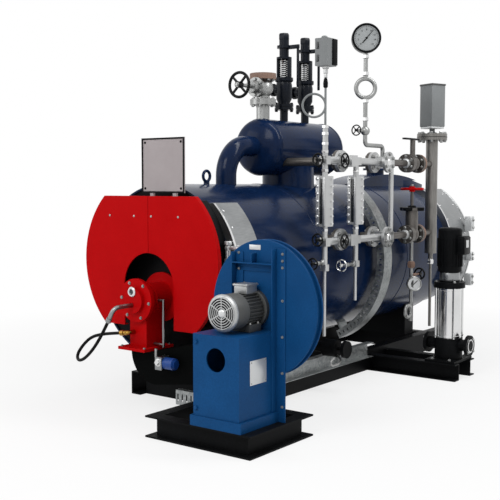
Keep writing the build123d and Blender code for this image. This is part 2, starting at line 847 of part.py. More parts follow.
def make_gauges():
    """Bolted water gauges with their cocks, drains, handwheels and blank flanges."""
    stem_end = branch_x + cock_size / 2 + cock_stem_length
    names = ("front_water_gauge", "rear_water_gauge")
    for index, name in enumerate(names):
        place = nozzle_places[index]
        gauge = gauge_places[index]
        piece = branch(place, gauge, steam_branch_height) + branch(place, gauge, water_branch_height)
        piece += bar((branch_x, gauge, drain_cock_height), Z, gauge_neck_radius,
                     steam_branch_height - drain_cock_height)
        piece += block(middle(branch_x, gauge_depth), middle(gauge, gauge_width), (gauge_bottom, gauge_top))
        piece += block(middle(branch_x, drain_cock_size), middle(gauge, drain_cock_size),
                       middle(drain_cock_height, drain_cock_size))
        piece += bar((branch_x, gauge, drain_cock_height), -Z, drain_radius, drain_lengths[index])
        for height in (steam_branch_height, water_branch_height):
            if index == 0:
                piece += block(middle(branch_x, cock_size), middle(cock_place, cock_size),
                               middle(height, cock_size))
                piece += bar((branch_x, cock_place, height), X, cock_stem_radius, stem_end - branch_x)
            else:
                piece += bar((branch_x + block_size / 2, place, height), X, nozzle_flange_radius,
                             blank_thickness)
        if index == 0:
            piece += bar((branch_x, gauge, steam_branch_height), Z, gauge_neck_radius,
                         switch_chain_rise)
        keep(name, piece)
    hub = cock_wheel_radius * wheel_hub_share
    wheels = (("steam_cock_wheel", steam_branch_height), ("water_cock_wheel", water_branch_height))
    for name, height in wheels:
        centre = (stem_end + hub + seat_gap, cock_place, height)
        keep(name, handwheel(centre, X, cock_wheel_radius))


def header_valve(height):
    """A pipe from the rear gauge's block through a flanged valve to the level chamber."""
    start = nozzle_places[1] + block_size / 2
    end = chamber_place
    piece = bar((branch_x, start, height), Y, branch_radius, end - start)
    piece += Pos(branch_x, valve_place, height) * Sphere(valve_body_radius)
    for side in (-1, 1):
        face = valve_place + side * valve_half_length
        piece += bar((branch_x, face - valve_flange_thickness, height), Y, valve_flange_radius,
                     valve_flange_thickness * 2)
    chamber = bar((branch_x, chamber_place, 0), Z, chamber_radius + seat_gap, chamber_top)
    return piece - chamber


def make_level_control():
    """Isolating valves, level chamber with its electrode head, and the balance pipe."""
    upper = header_valve(steam_branch_height)
    upper += bar((branch_x, valve_place, steam_branch_height), Z, ball_stem_radius, ball_stem_rise)
    keep("upper_isolating_valve", upper)
    lever_low = steam_branch_height + ball_stem_rise + seat_gap
    lever = block(middle(branch_x, ball_lever_width),
                  (valve_place - ball_lever_length, valve_place + ball_lever_tail),
                  (lever_low, lever_low + ball_lever_thickness))
    keep("upper_valve_lever", fillet(lever.edges().filter_by(Axis.Z), ball_lever_width / 3))
    lower = header_valve(water_branch_height)
    lower += bar((branch_x, valve_place, water_branch_height), Z, globe_bonnet_radius, globe_bonnet_rise)
    bonnet_top = water_branch_height + globe_bonnet_rise
    lower += bar((branch_x, valve_place, bonnet_top), Z, gland_radius, gland_thickness)
    lower += bar((branch_x, valve_place, bonnet_top), Z, globe_stem_radius, globe_stem_length)
    keep("lower_isolating_valve", lower)
    hub = globe_wheel_radius * wheel_hub_share
    centre = (branch_x, valve_place, bonnet_top + globe_stem_length + hub + seat_gap)
    keep("lower_valve_wheel", handwheel(centre, Z, globe_wheel_radius))
    chamber = bar((branch_x, chamber_place, chamber_bottom), Z, chamber_radius, chamber_top - chamber_bottom)
    chamber += bar((branch_x, chamber_place, chamber_top), Z, chamber_flange_radius, chamber_flange_pair)
    chamber += bar((branch_x, chamber_place, chamber_bottom - chamber_cock_height), Z, gauge_neck_radius,
                   chamber_cock_height)
    chamber += bar((branch_x, chamber_place, chamber_bottom), -Z, drain_radius, chamber_drain_length)
    keep("level_chamber", chamber)
    flange_top = chamber_top + chamber_flange_pair
    head_low = flange_top + head_gap
    head = block(middle(branch_x, head_width), middle(chamber_place, head_width),
                 (head_low, head_low + head_height))
    head += bar((branch_x, chamber_place, flange_top), Z, head_stem_radius, head_gap)
    keep("electrode_head", head)
    low = water_branch_height + branch_radius + seat_gap
    high = steam_branch_height - branch_radius - seat_gap
    keep("balance_pipe", bar((branch_x, balance_place, low), Z, balance_radius, high - low))


def make_instruments():
    """Pressure gauge on its siphon, its valve wheel, the pressure switch and the drain gauge."""
    facing = Vector(sin(radians(gauge_turn)), -cos(radians(gauge_turn)), 0)
    block_top = steam_branch_height + block_size / 2
    gauge_valve_height = steam_branch_height + gauge_valve_rise
    siphon_height = gauge_valve_height + siphon_rise
    dial_height = siphon_height + dial_rise
    riser_end = Vector(branch_x, siphon_place, gauge_valve_height)
    riser_start = Vector(branch_x, nozzle_places[1], block_top)
    bend_low = Vector(branch_x, nozzle_places[1], block_top + block_size)
    bend_high = Vector(branch_x, siphon_place, block_top + block_size)
    siphon = pipe([riser_start, bend_low, bend_high, riser_end], siphon_tube_radius, siphon_tube_radius * 2)
    siphon += Pos(*riser_end) * Sphere(gauge_valve_radius)
    siphon += bar(riser_end, -Y, cock_stem_radius, gauge_valve_stem)
    loop_centre = (branch_x, siphon_place, siphon_height)
    siphon += loop(loop_centre, siphon_loop_radius, siphon_tube_radius, facing)
    lower_run = siphon_height - siphon_loop_radius - gauge_valve_height
    siphon += bar(riser_end, Z, siphon_tube_radius, lower_run)
    upper_start = siphon_height + siphon_loop_radius
    siphon += bar((branch_x, siphon_place, upper_start), Z, siphon_tube_radius,
                  dial_height - dial_radius - seat_gap - upper_start)
    keep("gauge_siphon", siphon)
    back = Vector(branch_x, siphon_place, dial_height) - facing * (dial_depth / 2)
    keep("pressure_gauge", bar(back, facing, dial_radius, dial_depth))
    hub = gauge_wheel_radius * wheel_hub_share
    wheel_place = siphon_place - gauge_valve_stem - hub - seat_gap
    keep("gauge_valve_wheel", handwheel((branch_x, wheel_place, gauge_valve_height), Y, gauge_wheel_radius))
    place = gauge_places[0]
    chain_top = steam_branch_height + switch_chain_rise
    switch_low = chain_top + switch_rise
    switch = block(middle(branch_x, switch_depth), middle(place, switch_width),
                   (switch_low, switch_low + switch_height))
    switch += bar((branch_x, place, chain_top), Z, capillary_radius, switch_rise)
    loop_centre = Vector(branch_x, place, chain_top + capillary_loop_rise)
    loop_centre += facing.cross(Z) * capillary_loop_radius
    switch += loop(loop_centre, capillary_loop_radius, capillary_radius, facing)
    keep("pressure_switch", switch)
    sample_top = water_branch_height - valve_body_radius - seat_gap
    gauge_height = water_branch_height - sample_gauge_drop
    sample_end = gauge_height - sample_end_drop
    sample = bar((branch_x, valve_place, sample_end), Z, sample_radius, sample_top - sample_end)
    sample += bar((branch_x, valve_place, gauge_height), X, sample_gauge_radius, sample_gauge_depth)
    loop_centre = (branch_x, valve_place - sample_loop_radius, gauge_height - sample_loop_drop)
    sample += loop(loop_centre, sample_loop_radius, sample_radius, X)
    keep("sample_gauge", sample)


def make_blowdown():
    """Bottom blowdown pipe and valve under the shell."""
    corner = (blowdown_drop_x, blowdown_place, blowdown_height)
    body_end = blowdown_x + blowdown_body_length / 2
    route = [(blowdown_drop_x, blowdown_place, shell_height), corner,
             (body_end, blowdown_place, blowdown_height)]
    piece = pipe(route, blowdown_pipe_radius, blowdown_pipe_radius * 2)
    piece += bar((body_end - blowdown_body_length, blowdown_place, blowdown_height), X, blowdown_body_radius,
                 blowdown_body_length)
    piece += bar((body_end, blowdown_place, blowdown_height), X, steam_stem_radius, blowdown_body_length / 2)
    piece += bar((body_end + blowdown_body_length / 2, blowdown_place, blowdown_height), X,
                 blowdown_wheel_radius, blowdown_wheel_thickness)
    keep("blowdown_valve", piece - shell_solid(seat_gap))


def make_trays():
    """Slotted cable trays: one bent round the shell and one along the rail."""
    inner = shell_radius + tray_standoff
    outer = inner + tray_height
    ring = Pos(0, shell_height) * (Circle(outer) - Circle(outer - tray_sheet))
    side = Pos(0, shell_height) * (Circle(outer) - Circle(inner))
    span = tray_start - tray_end
    wedge = Pos(0, shell_height) * make_wedge(outer * 2)
    front = tray_place - tray_width / 2
    tray = slab(ring & wedge, front, tray_width)
    for start in (front, front + tray_width - tray_sheet):
        tray += slab(side & wedge, start, tray_sheet)
    count = int(radians(span) * inner / slot_spacing)
    mid = (inner + outer) / 2
    for index in range(count):
        angle = tray_end + span * (index + 1 / 2) / count
        cut = Pos(0, front, shell_height) * Rot(0, -angle, 0) * Pos(mid, 0, 0)
        tray -= cut * Box(slot_length, tray_sheet * 3, slot_height)
    foot_width = tray_width - tray_sheet * 2
    for angle in (tray_start, tray_end):
        inset = degrees(slot_spacing / inner)
        lean = angle - inset if angle > 0 else angle + inset
        foot = Pos(0, tray_place, shell_height) * Rot(0, -lean, 0) * Pos(
            (shell_radius + outer) / 2, 0, 0) * Box(outer - shell_radius, foot_width, slot_height)
        tray += foot - shell_solid(seat_gap)
    keep("shell_tray", tray)
    low = rail_tray_bottom
    high = rail_tray_bottom + rail_tray_height
    span_y = (rail_tray_front, rail_tray_rear)
    inner_face = skid_half_width + seat_gap
    straight = channel((inner_face, inner_face + rail_tray_depth), span_y, (low, high), tray_sheet, (0, 1))
    count = int((rail_tray_rear - rail_tray_front) / slot_spacing / 2)
    for index in range(count):
        place = rail_tray_front + (index + 1 / 2) * slot_spacing * 2
        cut = Pos(inner_face + rail_tray_depth / 2, place, high)
        straight -= cut * Box(slot_height, slot_length, tray_sheet * 3)
    front_low = (skid_front - front_tray_depth - seat_gap, skid_front - seat_gap)
    crossing = channel((front_tray_left, front_tray_right), front_low, (0, front_tray_height), tray_sheet,
                       (1, 1))
    count = int((front_tray_right - front_tray_left) / slot_spacing)
    for index in range(count):
        cut = Pos(front_tray_left + (index + 1 / 2) * slot_spacing, front_low[0], front_tray_height / 2)
        crossing -= cut * Box(slot_height, tray_sheet * 3, front_tray_height / 2)
    keep("rail_tray", Compound(children=[straight, crossing]))


def make_wedge(reach):
    """A wide triangle that holds the tray's arc."""
    corners = [(reach * 2 * cos(radians(angle)), reach * 2 * sin(radians(angle)))
               for angle in (tray_end, (tray_start + tray_end) / 2, tray_start)]
    return make_face(Polyline((0, 0), *corners, close=True))


def make_pump():
    """Vertical multistage feed pump: base with ports, sleeve with stays, stool and motor."""
    floor = frame_height
    plate_top = floor + pump_plate_thickness
    base_top = plate_top + pump_base_height
    base = block(middle(pump_x, pump_plate_width * 3 / 4), middle(pump_place, pump_plate_width),
                 (floor, plate_top))
    base += bar((pump_x, pump_place, floor), Z, pump_base_radius, base_top - floor)
    base += bar((pump_x - port_reach, pump_place, port_height), X, port_radius, port_reach * 2)
    for side in (-1, 1):
        flange_mid = pump_x + side * (port_reach - port_flange_thickness / 2)
        base += Pos(flange_mid, pump_place, port_height) * Rot(0, 90, 0) * Cylinder(
            port_flange_radius, port_flange_thickness)
    keep("pump_base", base)
    sleeve = bar((pump_x, pump_place, base_top), Z, sleeve_radius, sleeve_height)
    sleeve_top = base_top + sleeve_height
    for index in range(stay_count):
        turn = radians((index + 1 / 2) * 360 / stay_count)
        foot = (pump_x + stay_circle * cos(turn), pump_place + stay_circle * sin(turn), base_top)
        sleeve += bar(foot, Z, stay_radius, sleeve_height)
    keep("pump_sleeve", sleeve)
    motor = bar((pump_x, pump_place, sleeve_top), Z, head_flange_radius, head_flange_thickness)
    stool_low = sleeve_top + head_flange_thickness
    motor += bar((pump_x, pump_place, stool_low), Z, stool_radius, stool_height)
    motor_low = stool_low + stool_height
    body = bar((pump_x, pump_place, motor_low), Z, pump_motor_radius, pump_motor_height)
    motor += fillet(body.edges().sort_by(Axis.Z)[-1:], pump_cap_height / 2)
    for index in range(fin_count):
        fin = block((0, pump_motor_radius + fin_height / 2), middle(0, fin_thickness),
                    (motor_low + pump_cap_height, motor_low + pump_motor_height - pump_cap_height * 2))
        motor += Pos(pump_x, pump_place, 0) * Rot(0, 0, index * 360 / fin_count) * fin
    keep("pump_motor", motor)


make_skid()
make_shell()
make_casings()
make_burner()
make_blower()
make_drum()
make_drum_valves()
make_nozzles()
make_gauges()
make_level_control()
make_instruments()
make_blowdown()
make_trays()
make_pump()
os.makedirs("parts", exist_ok=True)
for node, shape in solids.items():
    pieces = [Pos(0, -cover_to_origin, 0) * solid for solid in shape.solids()]
    export_step(Compound(children=pieces), f"parts/{node}.step")
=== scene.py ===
"""Dresses a fired horizontal steam boiler: finishes, fasteners, glasses, dials, springs and the oil hose."""
import logging
from collections.abc import Sequence
from dataclasses import dataclass, field
from enum import Enum
from itertools import product
from math import cos, pi, radians, sin

import bpy
from mathutils import Matrix, Vector


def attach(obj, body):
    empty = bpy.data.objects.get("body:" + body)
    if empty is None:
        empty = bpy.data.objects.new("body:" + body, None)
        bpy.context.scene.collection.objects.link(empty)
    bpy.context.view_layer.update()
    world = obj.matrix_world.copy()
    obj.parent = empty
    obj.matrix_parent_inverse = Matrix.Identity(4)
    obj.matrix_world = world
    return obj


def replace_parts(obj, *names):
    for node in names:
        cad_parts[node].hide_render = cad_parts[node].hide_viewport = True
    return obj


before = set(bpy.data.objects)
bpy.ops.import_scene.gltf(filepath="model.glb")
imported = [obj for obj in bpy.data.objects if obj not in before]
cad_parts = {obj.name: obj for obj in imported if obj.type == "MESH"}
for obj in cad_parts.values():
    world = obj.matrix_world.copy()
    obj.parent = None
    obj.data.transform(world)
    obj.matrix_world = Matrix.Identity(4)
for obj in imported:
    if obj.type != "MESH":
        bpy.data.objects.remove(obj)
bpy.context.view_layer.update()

log = logging.getLogger("boiler")

MM = 0.001
COVER_TO_ORIGIN = 1450
ROOT = "boiler"
CLOUD_MM = 180
COAT_ROUGHNESS = 0.06
SMOOTH_UP_TO = radians(33)
STRIP_STEPS = 26
Piece = bpy.types.Object
Tree = bpy.types.NodeTree
Pair = tuple[float, float]
Point = tuple[float, float, float]
Profile = Sequence[Pair]


class Way(Enum):
    """Directions that faces and fasteners look in."""

    RIGHT = (1.0, 0.0, 0.0)
    LEFT = (-1.0, 0.0, 0.0)
    FRONT = (0.0, -1.0, 0.0)
    BACK = (0.0, 1.0, 0.0)
    UP = (0.0, 0.0, 1.0)
    DOWN = (0.0, 0.0, -1.0)
    GAUGE = (sin(radians(37)), -cos(radians(37)), 0.0)
    TAIL = (0.0, sin(radians(10.6)), cos(radians(10.6)))


def place(x: float, y: float, z: float) -> Vector:
    """Turns a place measured from the cover's face, in millimetres, into metres of the frame."""
    return Vector((x, y - COVER_TO_ORIGIN, z)) * MM


def linear(hex_colour: str) -> tuple[float, float, float, float]:
    """Turns an sRGB hex colour into linear values.

    Args:
        hex_colour: six hex digits.

    Returns:
        Linear red, green, blue and an alpha of one.
    """
    parts = [int(hex_colour[index:index + 2], 16) / 255 for index in (0, 2, 4)]
    values = [part / 12.92 if part <= 0.04045 else ((part + 0.055) / 1.055) ** 2.4 for part in parts]
    return (*values, 1.0)


class Pattern(Enum):
    """How a finish breaks up over its surface."""

    PEEL = "sprayed enamel"
    BRUSHED = "brushed sheet"
    SPANGLE = "galvanised crystals"
    CAST = "sand cast"


def add_node(tree: Tree, kind: str, links: dict | None = None, **settings: object) -> bpy.types.Node:
    """Adds a shader node with its settings and links.

    Args:
        tree: the material's node tree.
        kind: the node's type name.
        links: values or output sockets for the inputs, by name or index.
        settings: attributes of the node.

    Returns:
        The new node.
    """
    made = tree.nodes.new(kind)
    for name, value in settings.items():
        setattr(made, name, value)
    for key, value in (links or {}).items():
        if isinstance(value, bpy.types.NodeSocket):
            tree.links.new(value, made.inputs[key])
        else:
            made.inputs[key].default_value = value
    return made


@dataclass(frozen=True)
class Finish:
    """A real material and the way its surface was made."""

    name: str
    colour: str
    tint: str
    roughness: float
    pattern: Pattern
    grain_mm: float
    metallic: float = 0.0
    bump: float = 0.1
    coat: float = 0.0
    spread: float = 0.08
    specular: float = 0.4
    along: Point = (1.0, 1.0, 1.0)
    slot: str = "zinc_fitting"

    def build(self) -> bpy.types.Material:
        """Makes the material once and hands it back.

        Returns:
            The node material of this finish.
        """
        known = bpy.data.materials.get(self.name)
        if known:
            return known
        made = bpy.data.materials.new(self.name)
        made.use_nodes = True
        tree = made.node_tree
        shader = tree.nodes["Principled BSDF"]
        where = add_node(tree, "ShaderNodeTexCoord")
        mapped = add_node(tree, "ShaderNodeMapping", {"Vector": where.outputs["Object"], "Scale": self.along})
        scale = 1 / (self.grain_mm * MM)
        if self.pattern is Pattern.SPANGLE:
            grain = add_node(tree, "ShaderNodeTexVoronoi", {"Vector": mapped.outputs[0], "Scale": scale})
            signal = grain.outputs["Color"]
        else:
            grain = add_node(tree, "ShaderNodeTexNoise", {"Vector": mapped.outputs[0], "Scale": scale,
                                                          "Detail": 4.0})
            signal = grain.outputs["Fac"]
        cloud = add_node(tree, "ShaderNodeTexNoise", {"Vector": where.outputs["Object"], "Scale": 1 / (CLOUD_MM * MM),
                                                      "Detail": 5.0, "Roughness": 0.6})
        mottle = add_node(tree, "ShaderNodeMath", {0: signal, 1: cloud.outputs["Fac"]}, operation="MULTIPLY")
        ramp = add_node(tree, "ShaderNodeMapRange", {"Value": mottle.outputs[0], "From Min": 0.12, "From Max": 0.42})
        mix = add_node(tree, "ShaderNodeMix", {"Factor": ramp.outputs[0], 6: linear(self.colour),
                                               7: linear(self.tint)}, data_type="RGBA")
        tree.links.new(mix.outputs[2], shader.inputs["Base Color"])
        rough = add_node(tree, "ShaderNodeMapRange", {"Value": mottle.outputs[0], "From Min": 0.1, "From Max": 0.45,
                                                      "To Min": max(self.roughness - self.spread, 0.03),
                                                      "To Max": self.roughness + self.spread})
        tree.links.new(rough.outputs[0], shader.inputs["Roughness"])
        if self.bump:
            bump = add_node(tree, "ShaderNodeBump", {"Height": signal, "Strength": self.bump,
                                                     "Distance": self.grain_mm * MM / 4})
            tree.links.new(bump.outputs[0], shader.inputs["Normal"])
        shader.inputs["Metallic"].default_value = self.metallic
        shader.inputs["Specular IOR Level"].default_value = 0.5 if self.metallic else self.specular
        shader.inputs["Coat Weight"].default_value = self.coat
        shader.inputs["Coat Roughness"].default_value = COAT_ROUGHNESS
        return made


# Two-pack navy enamel sprayed on rolled plate: deep colour, strong strip reflections, faint peel.
NAVY = Finish("navy_enamel", "0A1B38", "0F264A", 0.2, Pattern.PEEL, 9, bump=0.03, coat=0.03, specular=0.1,
              slot="navy_paint")
# Lighter machinery blue on the blower, less gloss.
BLOWER_BLUE = Finish("blower_enamel", "104272", "154C80", 0.36, Pattern.PEEL, 7, bump=0.05, specular=0.06,
                     slot="blower_paint")
# Signal red enamel on the cover and the burner casting.
RED = Finish("red_enamel", "B0060A", "BA090D", 0.34, Pattern.PEEL, 8, bump=0.04, specular=0.03,
             slot="red_paint")
# Brushed stainless cladding sheet, brushed along the boiler's axis.
STAINLESS = Finish("brushed_stainless", "838586", "9A9C9D", 0.32, Pattern.BRUSHED, 2.5, metallic=1.0,
                   bump=0.015, spread=0.05, along=(1.0, 0.05, 1.0), slot="stainless")
# Bright turned steel on hubs, nuts and edge trim.
BRIGHT = Finish("bright_turned_steel", "CFD0D0", "E2E2E2", 0.2, Pattern.BRUSHED, 2, metallic=1.0, bump=0.03)
# Hot-dip galvanised tray: pale zinc crystals of about a centimetre.
GALVANISED = Finish("galvanised_steel", "868A8B", "A8ABAB", 0.42, Pattern.SPANGLE, 12, metallic=0.85,
                    bump=0.02, slot="galvanised")
# Black chassis paint over hot-rolled channel.
CHASSIS_BLACK = Finish("chassis_black", "0A0B0C", "141517", 0.45, Pattern.PEEL, 10, bump=0.1, specular=0.05,
                       slot="black_paint")
# Flat heat-proof black on the air duct.
DUCT_BLACK = Finish("heatproof_black", "040505", "080909", 0.6, Pattern.CAST, 8, bump=0.1, specular=0.02,
                    slot="black_paint")
# Satin black stove paint on handwheels.
WHEEL_BLACK = Finish("wheel_black", "0B0C0D", "151617", 0.38, Pattern.CAST, 3, bump=0.1, specular=0.12,
                     slot="black_wheel")
# Zinc-plated and aluminium-painted valve bodies.
ZINC = Finish("zinc_plated_steel", "878887", "ABACAB", 0.33, Pattern.CAST, 4, metallic=0.9, bump=0.1)
# Raw cast steel of flanged nozzles and isolating valves, dark and a little brown.
CAST_STEEL = Finish("raw_cast_steel", "4F4C49", "716D69", 0.36, Pattern.CAST, 5, metallic=0.7, bump=0.14)
# White-bronze gauge bodies, satin.
GAUGE_SILVER = Finish("satin_nickel", "B0B1B1", "C8C9C9", 0.36, Pattern.CAST, 3, metallic=0.75, bump=0.06)
# Grey machinery enamel on switch and electrode head.
GREY = Finish("grey_enamel", "7A7D7E", "888B8C", 0.42, Pattern.PEEL, 5, bump=0.08, specular=0.25,
              slot="grey_paint")
# Bare drawn steel pipe of the level chamber, a little dull.
CHAMBER_STEEL = Finish("mill_finish_pipe", "6E6C69", "8F8D89", 0.4, Pattern.BRUSHED, 6, metallic=0.8,
                       bump=0.08, along=(1.0, 1.0, 0.08), slot="grey_paint")
# Dark grey cast aluminium motor body.
MOTOR_GREY = Finish("motor_casting", "4A4B4A", "5A5B5A", 0.45, Pattern.CAST, 4, bump=0.12, specular=0.3,
                    slot="grey_paint")
# Aluminium paint on the fan cowl and the terminal box.
COWL_SILVER = Finish("aluminium_paint", "A6A8A8", "BCBDBD", 0.36, Pattern.PEEL, 4, metallic=0.6, bump=0.05,
                     slot="grey_paint")
# Dark blue-black valve enamel.
VALVE_BLACK = Finish("valve_enamel", "0B0F16", "141A25", 0.3, Pattern.CAST, 4, bump=0.12, specular=0.15,
                     slot="black_paint")
# Red-oxide primer gone brown on raw flanges.
OXIDE_BROWN = Finish("oxide_primer", "7C6458", "94796B", 0.5, Pattern.CAST, 5, bump=0.15, specular=0.25)
# Yellow brass hose fitting, turned.
BRASS = Finish("turned_brass", "9A7434", "B58C46", 0.3, Pattern.CAST, 3, metallic=1.0, bump=0.05, slot="brass")
# Blue moulded actuator housing.
ACTUATOR_BLUE = Finish("blue_moulding", "163F84", "1D4A94", 0.38, Pattern.PEEL, 3, bump=0.05, specular=0.3,
                       slot="blue_actuator")
# Black nitrile hose cover with a fine cloth mark.
HOSE_RUBBER = Finish("nitrile_rubber", "080808", "101010", 0.5, Pattern.CAST, 2, bump=0.2, specular=0.08,
                     slot="hose_rubber")
# Grey printed dial sheet behind glass.
DIAL_GREY = Finish("dial_sheet", "9B9FA0", "A7ABAC", 0.3, Pattern.PEEL, 6, bump=0.0, coat=0.2, slot="dial")
# Dark sight glass, polished.
DARK_GLASS = Finish("dark_sight_glass", "1A1D20", "24282C", 0.1, Pattern.PEEL, 12, bump=0.0, coat=0.3,
                    spread=0.02, slot="black_paint")
# Sign plate sheet, satin anodised, a little dark.
SIGN_SHEET = Finish("satin_anodised_sheet", "8D8586", "9E9697", 0.42, Pattern.BRUSHED, 2, metallic=0.25,
                    bump=0.02, specular=0.15, slot="stainless")
# Blank anodised plates.
PLATE_PALE = Finish("anodised_plate", "C9CBCC", "D6D8D8", 0.34, Pattern.BRUSHED, 2, metallic=0.5, bump=0.03,
                    slot="stainless")

NODE_FINISHES: dict[Finish, tuple[str, ...]] = {
    NAVY: ("boiler_shell", "drum_shell", "drum_ends", "drum_neck", "riser_pipe", "rear_end_plate", "lifting_eye",
           "flue_stub"),
    BLOWER_BLUE: ("blower_stand",),
    RED: ("front_cover_left", "front_cover_right", "burner_body", "burner_door", "lower_valve_wheel"),
    STAINLESS: ("front_side_casings", "rear_side_casings", "oil_elbow", "damper_rod"),
    GALVANISED: ("shell_tray", "rail_tray"),
    CHASSIS_BLACK: ("skid_rail_left", "skid_rail_right", "skid_cross_members", "saddles", "pump_arms",
                    "front_flange", "front_tube_plate", "blowdown_valve", "pump_base", "pump_motor"),
    DUCT_BLACK: ("air_duct",),
    BRIGHT: ("pump_sleeve",),
    WHEEL_BLACK: ("main_steam_wheel", "steam_cock_wheel", "water_cock_wheel", "gauge_valve_wheel",
                  "upper_valve_lever"),
    ZINC: ("main_steam_valve", "gauge_siphon", "sample_gauge"),
    CAST_STEEL: ("steam_nozzles", "water_nozzles", "upper_isolating_valve", "lower_isolating_valve"),
    GAUGE_SILVER: ("front_water_gauge", "rear_water_gauge", "balance_pipe"),
    SIGN_SHEET: ("sign_plate",),
    GREY: ("pressure_switch",),
    CHAMBER_STEEL: ("level_chamber",),
    VALVE_BLACK: ("pressure_gauge",),
    BRASS: ("oil_inlet",),
    ACTUATOR_BLUE: ("damper_actuator",),
}


def fresh() -> None:
    """Leaves edit mode and deselects everything."""
    if bpy.context.object and bpy.context.object.mode != "OBJECT":
        bpy.ops.object.mode_set(mode="OBJECT")
    bpy.ops.object.select_all(action="DESELECT")


def pick(piece: Piece) -> None:
    """Selects one piece alone and makes it active."""
    fresh()
    piece.select_set(True)
    bpy.context.view_layer.objects.active = piece


def open_mesh() -> None:
    """Opens the active mesh for editing with all of it selected."""
    bpy.ops.object.mode_set(mode="EDIT")
    bpy.ops.mesh.select_all(action="SELECT")


def close_mesh() -> None:
    """Welds what touches, turns the normals outwards and leaves edit mode."""
    bpy.ops.mesh.select_all(action="SELECT")
    bpy.ops.mesh.remove_doubles(threshold=MM / 100)
    bpy.ops.mesh.normals_make_consistent(inside=False)
    bpy.ops.object.mode_set(mode="OBJECT")


def open_sheet() -> Piece:
    """Adds a sheet a millimetre wide and opens it for editing."""
    fresh()
    bpy.ops.mesh.primitive_plane_add(size=MM, location=(0, 0, 0))
    open_mesh()
    return bpy.context.object


def dress_nodes() -> None:
    """Gives each carried-over node its finish."""
    for finish, names in NODE_FINISHES.items():
        for name in names:
            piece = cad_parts[name]
            piece.data.materials.clear()
            piece.data.materials.append(finish.build())


def spot(where: Point, way: Way = Way.UP, roll: float = 0.0) -> Matrix:
    """Gives the matrix that stands a piece made about Z at a place.

    Args:
        where: the place in millimetres from the cover's face.
        way: the direction that the piece's own Z takes.
        roll: a turn about that direction, in radians.

    Returns:
        The matrix in metres.
    """
    turn = Vector(way.value).to_track_quat("Z", "Y").to_matrix().to_4x4()
    return Matrix.Translation(place(*where)) @ turn @ Matrix.Rotation(roll, 4, "Z")


def ring(where: Point, way: Way, radius: float, count: int, phase: float = 0.5) -> list[Matrix]:
    """Gives evenly spaced matrices on a circle.

    Args:
        where: the circle's centre in millimetres.
        way: the circle's axis.
        radius: the circle's radius in millimetres.
        count: how many places there are.
        phase: the first place as a share of the step.

    Returns:
        One matrix for each place.
    """
    out = Matrix.Translation((radius * MM, 0, 0))
    return [spot(where, way, 2 * pi * (index + phase) / count) @ out for index in range(count)]


def corners(where: Point, reach: Point, way: Way = Way.UP) -> list[Matrix]:
    """Gives the corners round a place.

    Args:
        where: the middle in millimetres.
        reach: how far the corners lie from it along X, Y and Z.
        way: the direction that each corner looks in.

    Returns:
        One matrix for each corner.
    """
    signs = product(*[(-1, 1) if size else (0,) for size in reach])
    return [spot(tuple(mid + sign * size for mid, sign, size in zip(where, side, reach)), way) for side in signs]


def stand(piece: Piece, where: Point, way: Way = Way.UP, roll: float = 0.0) -> Piece:
    """Moves a piece made about Z to its place and applies that to its mesh."""
    pick(piece)
    piece.matrix_world = spot(where, way, roll)
    bpy.ops.object.transform_apply(location=True, rotation=True, scale=True)
    return piece


def turned(profile: Profile, segments: int = 28) -> Piece:
    """Spins a profile about Z, as on a lathe.

    Args:
        profile: radius and height pairs in millimetres.
        segments: how many steps go round.

    Returns:
        The turned piece at the origin.
    """
    piece = open_sheet()
    bpy.ops.mesh.merge(type="CENTER")
    spots = [Vector((radius, 0, height)) * MM for radius, height in profile]
    bpy.ops.transform.translate(value=spots[0])
    for before, after in zip(spots, spots[1:]):
        bpy.ops.mesh.extrude_region_move(TRANSFORM_OT_translate={"value": after - before})
    bpy.ops.mesh.select_all(action="SELECT")
    bpy.ops.mesh.spin(steps=segments, angle=2 * pi, center=(0, 0, 0), axis=(0, 0, 1))
    close_mesh()
    return piece


def bead(radius: float, thick: float, segments: int = 48) -> Piece:
    """Turns a round ring about Z.

    Args:
        radius: the ring's middle radius in millimetres.
        thick: half the ring's thickness.
        segments: how many steps go round.

    Returns:
        The ring at the origin.
    """
    turns = [2 * pi * index / 8 for index in range(9)]
    return turned([(radius + thick * cos(turn), thick * sin(turn)) for turn in turns], segments)


def arc_strip(radius: float, width: float, thick: float, low_deg: float, high_deg: float) -> Piece:
    """Spins a strip's section through part of a circle about Y.

    Args:
        radius: the strip's inner radius in millimetres.
        width: its width along Y, from zero.
        thick: its thickness.
        low_deg: where it starts, in degrees above +X.
        high_deg: where it ends.

    Returns:
        The strip round the origin.
    """
    piece = open_sheet()
    bpy.ops.transform.resize(value=(thick, width, 1))
    bpy.ops.transform.translate(value=Vector((radius + thick / 2, width / 2, 0)) * MM)
    bpy.ops.mesh.spin(steps=STRIP_STEPS, angle=radians(high_deg - low_deg), center=(0, 0, 0), axis=(0, 1, 0))
    close_mesh()
    piece.rotation_euler = (0, -radians(low_deg), 0)
    bpy.ops.object.transform_apply(location=True, rotation=True, scale=True)
    return piece


def block(size: Point, bevel: float = 1.5) -> Piece:
    """Makes a block with its edges eased.

    Args:
        size: its sides in millimetres.
        bevel: how far the edges are cut back.

    Returns:
        The block about the origin.
    """
    fresh()
    bpy.ops.mesh.primitive_cube_add(size=MM, location=(0, 0, 0))
    piece = bpy.context.object
    open_mesh()
    bpy.ops.transform.resize(value=size)
    bpy.ops.mesh.bevel(offset=bevel * MM, segments=2, affect="EDGES")
    bpy.ops.object.mode_set(mode="OBJECT")
    return piece


